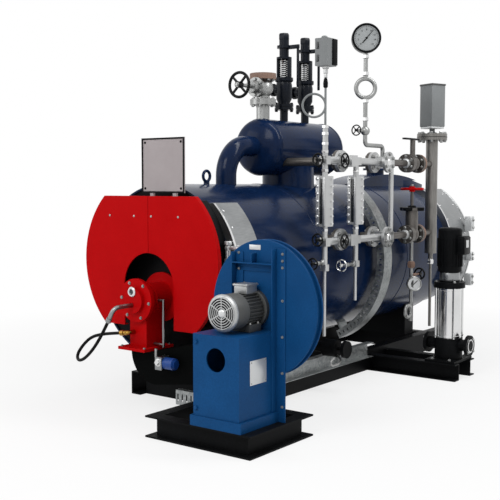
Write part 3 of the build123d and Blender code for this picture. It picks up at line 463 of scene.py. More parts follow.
def picture_frame(width: float, height: float, rim: float, thick: float) -> Piece:
    """Makes a flat rim round an open middle, lying in X and Y.

    Args:
        width: its outer size along X in millimetres.
        height: its outer size along Y.
        rim: the width of the rim.
        thick: how thick the rim is.

    Returns:
        The rim about the origin.
    """
    piece = open_sheet()
    bpy.ops.transform.resize(value=(width, height, 1))
    bpy.ops.mesh.inset(thickness=rim * MM, depth=0)
    bpy.ops.mesh.delete(type="FACE")
    bpy.ops.object.mode_set(mode="OBJECT")
    made = piece.modifiers.new("thickness", "SOLIDIFY")
    made.thickness = thick * MM
    made.offset = 1.0
    bpy.ops.object.modifier_apply(modifier=made.name)
    return piece


def tube_line(name: str, points: list[Vector], radius: float, steps: int, facets: int) -> Piece:
    """Runs a round tube along a smooth line.

    Args:
        name: the tube's name.
        points: the line's control points in metres.
        radius: the tube's radius in metres.
        steps: how finely the line is drawn.
        facets: how finely the tube is rounded.

    Returns:
        The tube as a curve.
    """
    data = bpy.data.curves.new(name, "CURVE")
    data.dimensions = "3D"
    data.resolution_u = steps
    data.bevel_depth = radius
    data.bevel_resolution = facets
    line = data.splines.new("NURBS")
    line.points.add(len(points) - 1)
    for control, point in zip(line.points, points):
        control.co = (*point, 1.0)
    line.order_u = 3
    line.use_endpoint_u = True
    piece = bpy.data.objects.new(name, data)
    bpy.context.scene.collection.objects.link(piece)
    return piece


def pipe(points: list[Vector], radius: float) -> Piece:
    """Runs a closed pipe of a radius in millimetres through points in metres."""
    piece = tube_line("tube", points, radius * MM, 8, 3)
    piece.data.use_fill_caps = True
    pick(piece)
    bpy.ops.object.convert(target="MESH")
    return bpy.context.object


def join(pieces: list[Piece]) -> Piece:
    """Joins pieces into the first one and applies its place."""
    bpy.context.view_layer.update()
    pick(pieces[0])
    for piece in pieces:
        piece.select_set(True)
    bpy.ops.object.join()
    bpy.ops.object.transform_apply(location=True, rotation=True, scale=True)
    return bpy.context.object


def copies(model: Piece, spots: list[Matrix]) -> Piece:
    """Copies a model to each place, each copy with its own mesh, and removes the model.

    Args:
        model: the piece made once at the origin.
        spots: a matrix for each copy.

    Returns:
        All copies joined.
    """
    made = []
    for matrix in spots:
        twin = model.copy()
        twin.data = model.data.copy()
        bpy.context.scene.collection.objects.link(twin)
        twin.matrix_world = matrix
        made.append(twin)
    bpy.data.objects.remove(model)
    return join(made)


def hex_bolt(radius: float, height: float) -> Piece:
    """Turns a washer and a chamfered hexagon head."""
    washer = turned([(0, 0), (radius * 1.3, 0), (radius * 1.3, 2), (0, 2)], 14)
    head = turned([(radius, 2), (radius, height * 0.8), (radius * 0.8, height), (0, height)], 6)
    return join([washer, head])


def screw_head(radius: float) -> Piece:
    """Turns a round screw head."""
    return turned([(radius, 0), (radius, radius / 4), (radius * 0.75, radius / 2), (radius * 0.35, radius * 0.65),
                   (0, radius * 0.7)], 14)


def spoked_wheel(radius: float, thick: float) -> Piece:
    """Makes a small handwheel with three spokes and a hub, about Z."""
    parts = [bead(radius - thick, thick, 24),
             turned([(0, -thick * 2), (thick * 2, -thick * 2), (thick * 2, thick * 2), (thick, thick * 3),
                     (0, thick * 3)], 16)]
    for index in range(3):
        spoke = block((radius - thick, thick * 1.6, thick), thick / 4)
        spoke.matrix_world = (Matrix.Rotation(2 * pi * index / 3, 4, "Z")
                              @ Matrix.Translation(((radius - thick) / 2 * MM, 0, 0)))
        parts.append(spoke)
    return join(parts)


def dress(piece: Piece, name: str, finish: Finish, slot: str = "", body: str = ROOT) -> Piece:
    """Names, paints and seats a finished piece.

    Args:
        piece: the piece.
        name: its name.
        finish: its finish.
        slot: a material slot name, which is not used.
        body: the body that it moves with.

    Returns:
        The same piece.
    """
    slot = slot or finish.slot
    pick(piece)
    bpy.ops.object.shade_smooth_by_angle(angle=SMOOTH_UP_TO)
    piece.name = name
    piece.data.name = name
    piece.data.materials.clear()
    piece.data.materials.append(finish.build())
    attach(piece, body)
    log.info("made %s", name)
    return piece


def lathe(name: str, finish: Finish, where: Point, profile: Profile, way: Way = Way.UP, steps: int = 28,
          slot: str = "") -> Piece:
    """Turns a profile, stands it at its place and dresses it."""
    return dress(stand(turned(profile, steps), where, way), name, finish, slot)


def brick(name: str, finish: Finish, where: Point, size: Point, bevel: float, way: Way = Way.UP, slot: str = "",
          roll: float = 0.0) -> Piece:
    """Makes an eased block, stands it at its place and dresses it."""
    return dress(stand(block(size, bevel), where, way, roll), name, finish, slot)


def fasten(name: str, finish: Finish, model: Piece, spots: list[Matrix], slot: str = "") -> Piece:
    """Copies a model to its places and dresses the set."""
    return dress(copies(model, spots), name, finish, slot)


def seams(name: str, radius: float, thick: float, steps: int, height: float, places: Pair) -> Piece:
    """Lays navy weld seams round a vessel that lies along Y."""
    rings = [stand(bead(radius, thick, steps), (0, y, height), Way.FRONT) for y in places]
    return dress(join(rings), name, NAVY)


@dataclass
class Studio:
    """Pale floor, soft lamps, white surround and the camera."""

    eye: Vector = field(default_factory=lambda: place(3132, -3302, 1149))
    turn_deg: float = 37.07
    dip_deg: float = 4.148
    focal_px: float = 908
    image_px: float = 500
    sensor_mm: float = 36
    aim: Point = (0, 0, 0.8)
    floor_size: float = 60
    fade: Pair = (1.2, 3.4)
    floor_share: float = 0.72
    surround: float = 0.42
    lamps: tuple[tuple[str, Point, Pair, float], ...] = (
        ("key", (1.0, -6.2, 5.0), (3.0, 3.0), 165),
        ("fill", (-4.0, -5.0, 3.0), (3.5, 3.5), 60),
        ("strip", (2.2, 0.2, 4.6), (0.7, 4.5), 110),
    )

    def camera(self) -> None:
        """Stands the camera at the photograph's eye point."""
        data = bpy.data.cameras.new("eye")
        data.sensor_width = self.sensor_mm
        data.lens = self.focal_px / self.image_px * self.sensor_mm
        camera = bpy.data.objects.new("eye", data)
        camera.location = self.eye
        camera.rotation_euler = (radians(90 - self.dip_deg), 0, radians(self.turn_deg))
        bpy.context.scene.collection.objects.link(camera)
        bpy.context.scene.camera = camera

    def lamp(self, name: str, where: Point, size: Pair, watts: float) -> None:
        """Adds one soft lamp that looks at the boiler's middle.

        Args:
            name: the lamp's name.
            where: its place in metres.
            size: its sides in metres.
            watts: its power.
        """
        data = bpy.data.lights.new(name, "AREA")
        data.shape = "RECTANGLE"
        data.size, data.size_y = size
        data.energy = watts
        lamp = bpy.data.objects.new(name, data)
        lamp.location = where
        lamp.rotation_euler = (Vector(self.aim) - Vector(where)).to_track_quat("-Z", "Y").to_euler()
        bpy.context.scene.collection.objects.link(lamp)

    def seen(self, tree: Tree) -> bpy.types.NodeSocket:
        """Gives one for what the camera sees, straight, mirrored or through glass."""
        rays = add_node(tree, "ShaderNodeLightPath")
        total = rays.outputs["Is Camera Ray"]
        for name in ("Is Glossy Ray", "Is Transmission Ray"):
            either = add_node(tree, "ShaderNodeMath", {0: total, 1: rays.outputs[name]}, operation="MAXIMUM")
            total = either.outputs[0]
        return total

    def floor(self) -> None:
        """Lays a pale floor that keeps the shadow and fades to white far out."""
        fresh()
        bpy.ops.mesh.primitive_plane_add(size=self.floor_size, location=(0, 0, 0))
        floor = bpy.context.object
        floor.name = "floor"
        made = bpy.data.materials.new("pale_floor")
        made.use_nodes = True
        tree = made.node_tree
        shader = tree.nodes["Principled BSDF"]
        shader.inputs["Base Color"].default_value = linear("F4F4F4")
        shader.inputs["Roughness"].default_value = 0.8
        shader.inputs["Specular IOR Level"].default_value = 0.1
        white = add_node(tree, "ShaderNodeEmission", {"Strength": 1.0})
        where = add_node(tree, "ShaderNodeTexCoord")
        far = add_node(tree, "ShaderNodeVectorMath", {0: where.outputs["Object"]}, operation="LENGTH")
        near, edge = self.fade
        fade = add_node(tree, "ShaderNodeMapRange", {"Value": far.outputs["Value"], "From Min": near,
                                                     "From Max": edge, "To Min": self.floor_share, "To Max": 1.0})
        share = add_node(tree, "ShaderNodeMath", {0: fade.outputs[0], 1: self.seen(tree)}, operation="MULTIPLY")
        mix = add_node(tree, "ShaderNodeMixShader", {0: share.outputs[0], 1: shader.outputs[0],
                                                     2: white.outputs[0]})
        tree.links.new(mix.outputs[0], tree.nodes["Material Output"].inputs["Surface"])
        floor.data.materials.append(made)

    def build(self) -> None:
        """Makes camera, floor, surround and lamps."""
        self.camera()
        self.floor()
        world = bpy.data.worlds.new("surround")
        bpy.context.scene.world = world
        world.use_nodes = True
        tree = world.node_tree
        level = add_node(tree, "ShaderNodeMapRange", {"Value": self.seen(tree), "To Min": self.surround,
                                                      "To Max": 1.0})
        back = tree.nodes["Background"]
        back.inputs["Color"].default_value = (1, 1, 1, 1)
        tree.links.new(level.outputs[0], back.inputs["Strength"])
        for lamp in self.lamps:
            self.lamp(*lamp)
        bpy.context.scene.view_settings.view_transform = "Standard"


@dataclass
class OilHose:
    """The flexible hose from the burner's elbow round to its inlet."""

    diameter: float = 0.016
    length: float = 0.7
    route: tuple[Point, ...] = (
        (-48, -235, 483), (-79, -235, 433), (-141, -235, 350), (-215, -230, 285), (-283, -215, 260),
        (-327, -185, 282), (-314, -158, 328), (-270, -140, 374), (-203, -128, 394), (-111, -120, 407),
        (-76, -120, 411),
    )

    def build(self) -> None:
        """Lays the hose along its route as one smooth curve."""
        points = [place(*point) for point in self.route]
        hose = tube_line("oil_hose_cover", points, self.diameter / 2, 12, 5)
        hose.data.materials.append(HOSE_RUBBER.build())
        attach(hose, ROOT)
        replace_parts(hose, "oil_hose")
        log.info("made %s", hose.name)


@dataclass
class FrontCover:
    """Screws on the red cover and the rim of its bare sign plate."""

    screw_places: tuple[float, ...] = (-268, -96, 21, 200)
    screw_height: float = 989
    screw_radius: float = 6
    sign_middle: Point = (97, 6, 1241)
    sign_size: Pair = (280, 270)
    rim: Pair = (8, 3)
    screw_inset: float = 22

    def build(self) -> None:
        """Makes the screws and the rim."""
        spots = [spot((x, 0, self.screw_height), Way.FRONT) for x in self.screw_places]
        fasten("cover_screws", ZINC, screw_head(self.screw_radius), spots)
        rim = picture_frame(*self.sign_size, *self.rim)
        dress(stand(rim, self.sign_middle, Way.FRONT), "sign_rim", CHASSIS_BLACK)
        wide, tall = (size / 2 - self.screw_inset for size in self.sign_size)
        fasten("sign_screws", CHASSIS_BLACK, screw_head(self.screw_radius),
               corners(self.sign_middle, (wide, 0, tall), Way.FRONT))


@dataclass
class CasingTrim:
    """Bright edge strips and rivets of the stainless side casings, and the tee beside the front one."""

    axis_height: float = 695
    radius: float = 495
    edges: Point = (98, 2478, 2780)
    rivet_lines: Point = (133, 2513, 2722)
    arcs: tuple[Pair, ...] = ((-32, 46.5), (-32, 57.5), (-32, 57.5))
    rivet_count: int = 7
    strip: Pair = (14, 3)
    tee_foot: Point = (446, 80, 778)
    tee_arm: Point = (440, 80, 846)

    def rivet_spots(self, edge: float, low: float, high: float) -> list[Matrix]:
        """Gives places for rivets along an edge, looking outwards."""
        base = spot((0, edge, self.axis_height))
        reach = Matrix.Translation((0, 0, self.radius * MM))
        steps = [low + (high - low) * (index + 0.5) / self.rivet_count for index in range(self.rivet_count)]
        return [base @ Matrix.Rotation(radians(90 - angle), 4, "Y") @ reach for angle in steps]

    def build(self) -> None:
        """Makes strips, rivets and the tee."""
        strips = []
        rivets = []
        for edge, line, (low, high) in zip(self.edges, self.rivet_lines, self.arcs):
            for start, end in ((low, high), (180 - high, 180 - low)):
                made = arc_strip(self.radius, *self.strip, start, end)
                made.matrix_world = Matrix.Translation(place(0, edge, self.axis_height))
                strips.append(made)
                rivets += self.rivet_spots(line, start, end)
        dress(join(strips), "casing_edge_strips", BRIGHT, "stainless")
        fasten("casing_rivets", BRIGHT, screw_head(6), rivets, "stainless")
        body = turned([(0, 0), (16, 0), (19, 4), (19, 14), (13, 18), (13, 80), (19, 84), (19, 96), (16, 100),
                       (0, 100)], 20)
        arm = turned([(0, 0), (17, 0), (17, 14), (10, 18), (10, 60), (15, 64), (15, 74), (0, 74)], 20)
        dress(join([stand(body, self.tee_foot), stand(arm, self.tee_arm, Way.RIGHT)]), "vent_tee", GAUGE_SILVER)


@dataclass
class BurnerDetails:
    """Door bolts, sight glass, base bolts, bracket bolt and the actuator's cap."""

    axis_height: float = 577
    door_face: float = -95
    rib_face: float = -20
    bolt_circle: float = 92
    sight: Point = (0, -115, 622)
    base_middle: Point = (0, -23, 345)
    base_reach: Point = (76, 89, 0)
    bracket: Point = (185, -132, 296)
    actuator_end: Point = (264, -101, 290)
    crank: Point = (150, -108, 334)

    def build(self) -> None:
        """Makes the burner's small pieces."""
        bolts = ring((0, self.door_face, self.axis_height), Way.FRONT, self.bolt_circle, 6, 0.9)
        fasten("burner_bolts", ZINC, hex_bolt(6.5, 7), bolts + corners(self.base_middle, self.base_reach))
        lathe("sight_bezel", BRIGHT, self.sight,
              [(13, -2), (25, -2), (25, 6), (21, 10), (15, 10), (13, 6), (13, -2)], Way.FRONT)
        lathe("sight_glass", DARK_GLASS, self.sight, [(14, 3), (8, 4.5), (0, 5)], Way.FRONT, 24)
        lathe("burner_rib", RED, (0, self.rib_face, self.axis_height),
              [(80, 0), (86, 0), (86, 12), (80, 12), (80, 0)], Way.FRONT, 40)
        dress(stand(hex_bolt(15, 14), self.bracket, Way.FRONT), "bracket_bolt", BRIGHT, "stainless")
        lathe("actuator_cap", ACTUATOR_BLUE, self.actuator_end,
              [(0, 0), (26, 0), (26, 3), (20, 6), (20, 9), (6, 10), (0, 10)], Way.RIGHT, 24)
        brick("damper_crank", ZINC, self.crank, (14, 10, 44), 3, slot="stainless")


@dataclass
class ScrollShell:
    """The blower's scroll: rolled drum, inlet ring and the angle irons on its face."""

    middle: Pair = (763, 599)
    inlet: Pair = (705, 612)
    face: float = -70
    radius: float = 290
    rim: float = 302
    oval: float = 0.935
    width: float = 54
    sheet: float = 5
    reach: float = 38
    irons: tuple[tuple[float, float, float, float], ...] = ((611, 44, 505, 848), (835, 52, 100, 868))
    shelf: Pair = (797, 34)
    gusset: Pair = (722, 844)

    def plate(self, *spans: Pair) -> Piece:
        """Makes one flat plate between two corners, given by its spans along X, Y and Z."""
        made = block(tuple(high - low for low, high in spans), 0.8)
        return stand(made, tuple((low + high) / 2 for low, high in spans))

    def build(self) -> None:
        """Makes the scroll that stands for the solid one."""
        x, z = self.middle
        w, r, rim = self.width, self.radius, self.rim
        drum = turned([(0, 0), (rim - 2, 0), (rim, 2), (rim, 8), (r, 9), (r, w - 9), (rim, w - 8), (rim, w - 2),
                       (rim - 2, w), (0, w)], 96)
        hoops = copies(bead(rim - 1, 5, 96), [Matrix.Translation((0, 0, end * MM)) for end in (5, w - 5)])
        volute = join([drum, hoops])
        volute.matrix_world = spot((x, self.face, z), Way.BACK) @ Matrix.Diagonal((self.oval, 1, 1, 1))
        mouth = turned([(114, -1), (120, -1), (120, 67), (123, 71), (117, 71), (114, 65), (114, -1)], 56)
        parts = [volute, stand(mouth, (self.inlet[0], self.face + w, self.inlet[1]), Way.BACK)]
        out = (self.face - self.reach, self.face)
        flat = (self.face - self.sheet, self.face)
        for left, wide, low, high in self.irons:
            parts.append(self.plate((left, left + self.sheet), out, (low, high)))
            parts.append(self.plate((left, left + wide), flat, (low, high)))
        shelf, tall = self.shelf
        across = (self.irons[0][0] + self.sheet, self.irons[1][0])
        parts.append(self.plate(across, out, (shelf, shelf + self.sheet)))
        parts.append(self.plate(across, flat, (shelf - tall, shelf + self.sheet)))
        rib, top = self.gusset
        parts.append(self.plate((rib, rib + self.sheet), out, (shelf, top)))
        made = dress(join(parts), "scroll_casing", BLOWER_BLUE)
        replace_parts(made, "blower_scroll")


@dataclass
class BlowerFrame:
    """The blower's base: channels with their flanges turned outwards, welded into a ring."""

    middle: Pair = (599.5, -106)
    size: Pair = (599, 480)
    height: float = 100
    flange: float = 64
    inset: float = 38
    sheet: float = 8
    beam_x: float = 583

    def build(self) -> None:
        """Makes the ring that stands for the solid rails and ends."""
        parts = [stand(picture_frame(*self.size, self.flange, self.sheet), (*self.middle, low))
                 for low in (0, self.height - self.sheet)]
        wide, deep = (size - self.inset * 2 for size in self.size)
        parts.append(stand(picture_frame(wide, deep, self.sheet, self.height - 2), (*self.middle, 1)))
        beam = block((self.sheet, deep - self.sheet, self.height - 2), 1)
        parts.append(stand(beam, (self.beam_x, self.middle[1], self.height / 2)))
        made = dress(join(parts), "blower_frame", CHASSIS_BLACK)
        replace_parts(made, "blower_base_rails", "blower_base_ends")


@dataclass
class BlowerMotor:
    """The blower's motor: finned body, drive flange, feet, fan cowl with its grille and the terminal box."""

    axis: Pair = (713, 597)
    end: float = -300
    cowl_radius: float = 80
    body_radius: float = 68
    fin: Point = (10, 3.2, 108)
    fin_count: int = 30
    foot_y: float = -148
    box_y: float = -132
    grille: tuple[float, ...] = (25, 36, 47, 58, 68)

    def casing(self) -> Piece:
        """Makes body, flange, cowl sleeve, fins and feet as one casting."""
        x, z = self.axis
        b, r = self.body_radius, self.cowl_radius
        body = turned([(0, -2), (r - 12, -2), (r - 2, -4), (r, -8), (r, -95), (b, -97), (b, -206), (r + 3, -206),
                       (r + 6, -209), (r + 6, -230), (0, -230)], 48)
        fins = copies(block(self.fin, 0.8), ring((x, self.end + 150, z), Way.FRONT, b + 3, self.fin_count))
        feet = [stand(block((30, 84, 34), 3), (x + side * 52, self.foot_y, 522)) for side in (-1, 1)]
        web = stand(block((80, 76, 50), 3), (x, self.foot_y, 530))
        return join([stand(body, (x, self.end, z), Way.FRONT), fins, *feet, web])

    def build(self) -> None:
        """Makes the motor that stands for the solid one, and its small pieces."""
        x, z = self.axis
        r = self.cowl_radius
        face = (x, self.end, z)
        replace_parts(dress(self.casing(), "motor_casing", MOTOR_GREY, "grey_paint"), "blower_motor")
        lathe("fan_cowl", COWL_SILVER, face,
              [(r, -16), (r + 2, -14), (r + 2, -6), (r - 3, 0), (r - 9, 2), (r - 11, 1), (r - 9, -1), (r - 1, -8),
               (r - 1, -16), (r, -16)], Way.FRONT, 48)
        front = (x, self.end - 3, z)
        rings = [stand(bead(radius, 2.4, 40), front, Way.FRONT) for radius in self.grille]
        bars = copies(block((58, 5, 4), 1), ring(front, Way.FRONT, 42, 6))
        dress(join([*rings, bars]), "cowl_grille", COWL_SILVER)
        lathe("cowl_hub", PLATE_PALE, face, [(0, 9), (9, 9), (16, 6), (20, 1), (20, -3), (0, -3)], Way.FRONT, 24,
              "grey_paint")
        # A flat black disc behind the grille is painted shade: it stands for the dark inside of the cowl.
        lathe("cowl_painted_shade", CHASSIS_BLACK, face, [(r - 10, 0.5), (18, 0.5)], Way.FRONT, 36)
        box = stand(block((70, 78, 36), 3), (x, self.box_y, 687))
        lid = stand(block((80, 88, 9), 3), (x, self.box_y, 708))
        dress(join([box, lid]), "terminal_box", COWL_SILVER)
        fasten("terminal_screws", ZINC, screw_head(4), corners((x, self.box_y, 712.5), (33, 37, 0)))
        lathe("terminal_gland", CHASSIS_BLACK, (x - 35, self.box_y, 688),
              [(0, 0), (12, 0), (12, 9), (9, 11), (9, 20), (7, 24), (0, 24)], Way.LEFT, 12)
        fasten("motor_foot_bolts", ZINC, hex_bolt(6, 8), corners((x, self.foot_y, 539), (57, 28, 0)))


@dataclass
class BlowerDetails:
    """Foot, bolts and bare plates of the blower's stand and scroll."""

    stand_bolts: tuple[Point, ...] = ((601, -338, 180), (601, -338, 470))
    iron_face: float = -75
    iron_bolts: tuple[tuple[float, tuple[float, ...]], ...] = (
        (632, (842, 770, 690)), (872, (845, 815, 785, 640, 480, 320, 170)))
    scroll_plate: Point = (719, -71, 869)
    foot: Point = (709, -204, 100)
    foot_frame: tuple[float, ...] = (280, 282, 16, 46)
    stand_plate: Point = (836, -204, 345)

    def build(self) -> None:
        """Makes the blower's small pieces."""
        bolts = [spot(where, Way.FRONT) for where in self.stand_bolts]
        fasten("blower_bolts", BLOWER_BLUE, hex_bolt(9, 8), bolts)
        bolts = [spot((x, self.iron_face, z), Way.FRONT) for x, heights in self.iron_bolts for z in heights]
        fasten("scroll_iron_bolts", GREY, hex_bolt(5, 6), bolts, "zinc_fitting")
        brick("scroll_plate", PLATE_PALE, self.scroll_plate, (62, 22, 2), 0.6, Way.FRONT)
        dress(stand(picture_frame(*self.foot_frame), self.foot), "stand_foot", BLOWER_BLUE)
        brick("stand_plate", PLATE_PALE, self.stand_plate, (118, 106, 2), 0.6, Way.RIGHT)
        x, y, z = self.stand_plate
        fasten("stand_plate_pins", ZINC, screw_head(3.5), corners((x + 1, y, z), (0, 50, 45), Way.RIGHT))


@dataclass
class DrumDetails:
    """Weld seams of the drum and bolts of its nozzles."""

    radius: float = 162
    height: float = 1363
    seams: Pair = (940, 1575)
    nozzles: Pair = (1010, 1375)
    heights: Pair = (1275, 843)
    flange_faces: Pair = (478, 514)
    bolt_circle: float = 46

    def build(self) -> None:
        """Makes the seams and the bolts."""
        seams("drum_seams", self.radius, 3.2, 64, self.height, self.seams)
        bolts = []
        for y, z in product(self.nozzles, self.heights):
            for x, way in zip(self.flange_faces, (Way.LEFT, Way.RIGHT)):
                bolts += ring((x, y, z), way, self.bolt_circle, 4)
        fasten("nozzle_bolts", ZINC, hex_bolt(9, 10), bolts)


@dataclass
class TopValves:
    """Bolts, brown outlet flange and hub nut of the steam valve; the spring safety valves with their levers."""

    steam_y: float = 968
    steam_faces: tuple[tuple[float, Way], ...] = ((1637, Way.UP), (1605, Way.DOWN), (1750, Way.DOWN))
    outlet_low: float = 1751
    outlet_top: float = 1783
    bonnet: Point = (0, 892, 1702)
    wheel_hub: Point = (0, 727, 1702)
    safety_y: Pair = (1180, 1405)
    safety_flange: Pair = (1590, 1622)
    drum_top: float = 1525
    outlet_height: float = 1712
    spring_low: float = 1779
    spring_high: float = 1888
    cap: float = 2000
    turns: int = 9
    wire: float = 4.6
    coil: float = 21.5

    def spring(self, y: float) -> Piece:
        """Coils one spring round its spindle with a screw modifier.

        Args:
            y: the valve's place.

        Returns:
            The spring.
        """
        fresh()
        bpy.ops.mesh.primitive_circle_add(vertices=8, radius=self.wire * MM, location=(0, 0, 0),
                                          rotation=(pi / 2, 0, 0))
        coil = bpy.context.object
        bpy.ops.object.transform_apply(location=True, rotation=True, scale=True)
        open_mesh()
        bpy.ops.transform.translate(value=(self.coil * MM, 0, 0))
        bpy.ops.object.mode_set(mode="OBJECT")
        made = coil.modifiers.new("coil", "SCREW")
        made.angle = 2 * pi
        made.steps = made.render_steps = 18
        made.iterations = self.turns
        made.screw_offset = (self.spring_high - self.spring_low) / self.turns * MM
        bpy.ops.object.modifier_apply(modifier=made.name)
        open_mesh()
        close_mesh()
        return stand(coil, (0, y, self.spring_low))

    def safety_valve(self, y: float) -> Piece:
        """Makes one safety valve: turned body and cap, yoke posts, side outlet and hanging lever.

        Args:
            y: the valve's place.

        Returns:
            The valve without its spring.
        """
        foot, top = self.drum_top - 7, self.cap
        low, high = self.spring_low, self.spring_high
        under, over = self.safety_flange
        body = [(0, foot), (24, foot), (24, under), (56, under), (56, 1604), (50, 1604), (50, 1608), (56, 1608),
                (56, over), (36, over), (36, 1634), (46, 1652), (48, 1735), (44, 1752), (54, 1760), (54, low),
                (15, low), (15, high), (45, high), (45, high + 12), (28, high + 16), (28, 1950), (42, 1952),
                (42, 1968), (29, 1970), (29, top), (0, top)]
        outlet = [(0, -70), (26, -70), (26, -14), (38, -14), (38, 0), (22, 0), (20, -10), (0, -10)]
        parts = [stand(turned(body, 32), (0, y, 0)),
                 stand(turned(outlet), (-84, y, self.outlet_height), Way.LEFT),
                 stand(block((92, 14, 24), 3), (62, y, 1956)),
                 stand(block((16, 9, 236), 3), (99, y, 1836)),
                 stand(turned([(0, 0), (31, 0), (33, 3), (33, 32), (28, 40), (0, 40)], 6), (0, y, top))]
        parts += [stand(block((14, 30, high - low + 8), 2), (side * 38, y, (low + high) / 2)) for side in (-1, 1)]
        return join(parts)

    def build(self) -> None:
        """Makes the steam valve's small pieces and the safety valves."""
        y = self.steam_y
        bolts = []
        for z, way in self.steam_faces:
            bolts += ring((0, y, z), way, 60, 8)
        fasten("steam_valve_bolts", ZINC, hex_bolt(9, 10), bolts + ring(self.bonnet, Way.FRONT, 44, 6))
        lathe("steam_outlet_band", OXIDE_BROWN, (0, y, self.outlet_low),
              [(42, -1), (76, -1), (76.5, 4), (76.5, 30), (76, 33), (42, 33), (42, -1)], steps=48)
        # A flat black disc over the outlet's bore is painted shade: it stands for the dark inside of the pipe.
        lathe("steam_outlet_painted_shade", CHASSIS_BLACK, (0, y, self.outlet_top), [(42, 0.4), (38, 0.6), (0, 0.6)], steps=32)
        nut = stand(hex_bolt(10, 10), self.wheel_hub, Way.FRONT)
        dress(nut, "steam_wheel_nut", ZINC, body="main_steam_wheel")
        valves = join([self.safety_valve(place_y) for place_y in self.safety_y])
        dress(valves, "safety_valve_set", VALVE_BLACK)
        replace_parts(valves, "safety_valves")
        springs = join([self.spring(place_y) for place_y in self.safety_y])
        dress(springs, "safety_springs", BRIGHT, "stainless")
        bolts = []
        under, over = self.safety_flange
        for place_y in self.safety_y:
            bolts += ring((0, place_y, over), Way.UP, 46, 4) + ring((0, place_y, under), Way.DOWN, 46, 4)
        fasten("safety_bolts", VALVE_BLACK, hex_bolt(9, 12), bolts)


@dataclass
class GaugeDetails:
    """Glasses, clamp rails and studs of the water gauges, their drain cocks' wheels and the blank flanges."""

    branch: float = 560
    places: Pair = (757, 1076)
    heights: Pair = (1275, 843)
    low: float = 926
    high: float = 1192
    rows: int = 7
    cocks: tuple[Point, ...] = ((740, 735, 92), (1059, 707, 128), (735, 858, 44), (735, 1275, 44))
    knob_y: float = 688
    blank: Pair = (607, 1375)
    nuts: tuple[tuple[float, tuple[float, ...]], ...] = (
        (757, (1212, 1310, 1352, 1404, 1440)), (1076, (1212, 898)), (757, (898,)))

    def cock(self, y: float, z: float, reach: float) -> Piece:
        """Turns a cock's stem that runs forward from a gauge."""
        stem = turned([(0, 0), (15, 0), (15, 8), (9, 12), (9, reach * 0.4), (12, reach * 0.45), (12, reach * 0.6),
                       (6, reach * 0.65), (6, reach), (0, reach)], 18)
        return stand(stem, (self.branch, y, z), Way.FRONT)

    def build_glasses(self) -> None:
        """Makes rails, glasses and studs of both gauges."""
        x = self.branch
        tall = self.high - self.low
        middle = (self.low + self.high) / 2
        rails = []
        studs = []
        glasses = []
        for y in self.places:
            face = y - 38
            for rail_x, wide in ((x - 17, 22), (x + 21, 14)):
                rails.append(stand(block((wide, 9, tall - 8), 2), (rail_x, face - 4, middle)))
            glasses.append(stand(block((18, 4, tall - 30), 1), (x + 4, face - 2, middle)))
            for row in range(self.rows):
                z = self.low + 15 + row * (tall - 30) / (self.rows - 1)
                studs += [spot((x - 19, face - 8, z), Way.FRONT), spot((x - 28, y - 20, z), Way.LEFT),
                          spot((x + 28, y + 22, z), Way.RIGHT), spot((x + 12, y + 38, z), Way.BACK)]
        dress(join(rails), "gauge_rails", GAUGE_SILVER)
        dress(join(glasses), "gauge_glasses", DARK_GLASS)
        fasten("gauge_studs", BRIGHT, hex_bolt(7, 9), studs)

    def build(self) -> None:
        """Makes the gauges' small pieces."""
        self.build_glasses()
        x = self.branch
        dress(join([self.cock(*cock) for cock in self.cocks]), "drain_cock_stems", ZINC)
        front = stand(spoked_wheel(33, 4.5), (x, 644, 735), Way.FRONT)
        dress(front, "front_drain_wheel", WHEEL_BLACK)
        rear = stand(spoked_wheel(35, 4.5), (x, 927, 707), Way.FRONT)
        dress(rear, "rear_drain_wheel", BRIGHT)
        spots = [spot((x, self.knob_y, z), Way.FRONT) for z in (858, 1275)]
        fasten("gauge_cock_knobs", WHEEL_BLACK, spoked_wheel(36, 5), spots)
        spots = [spot((x, y, z)) for y, heights in self.nuts for z in heights]
        fasten("gauge_union_nuts", BRIGHT, turned([(15, 0), (19, 2), (19, 16), (15, 18)], 6), spots)
        bolts = []
        for z in self.heights:
            bolts += ring((*self.blank, z), Way.RIGHT, 46, 6)
        fasten("blank_flange_bolts", ZINC, hex_bolt(9, 10), bolts)
        hubs = [spot((*self.blank, z), Way.RIGHT) for z in self.heights]
        fasten("blank_flange_hubs", BRIGHT, turned([(0, 6), (14, 6), (20, 3), (22, 0)], 24), hubs)


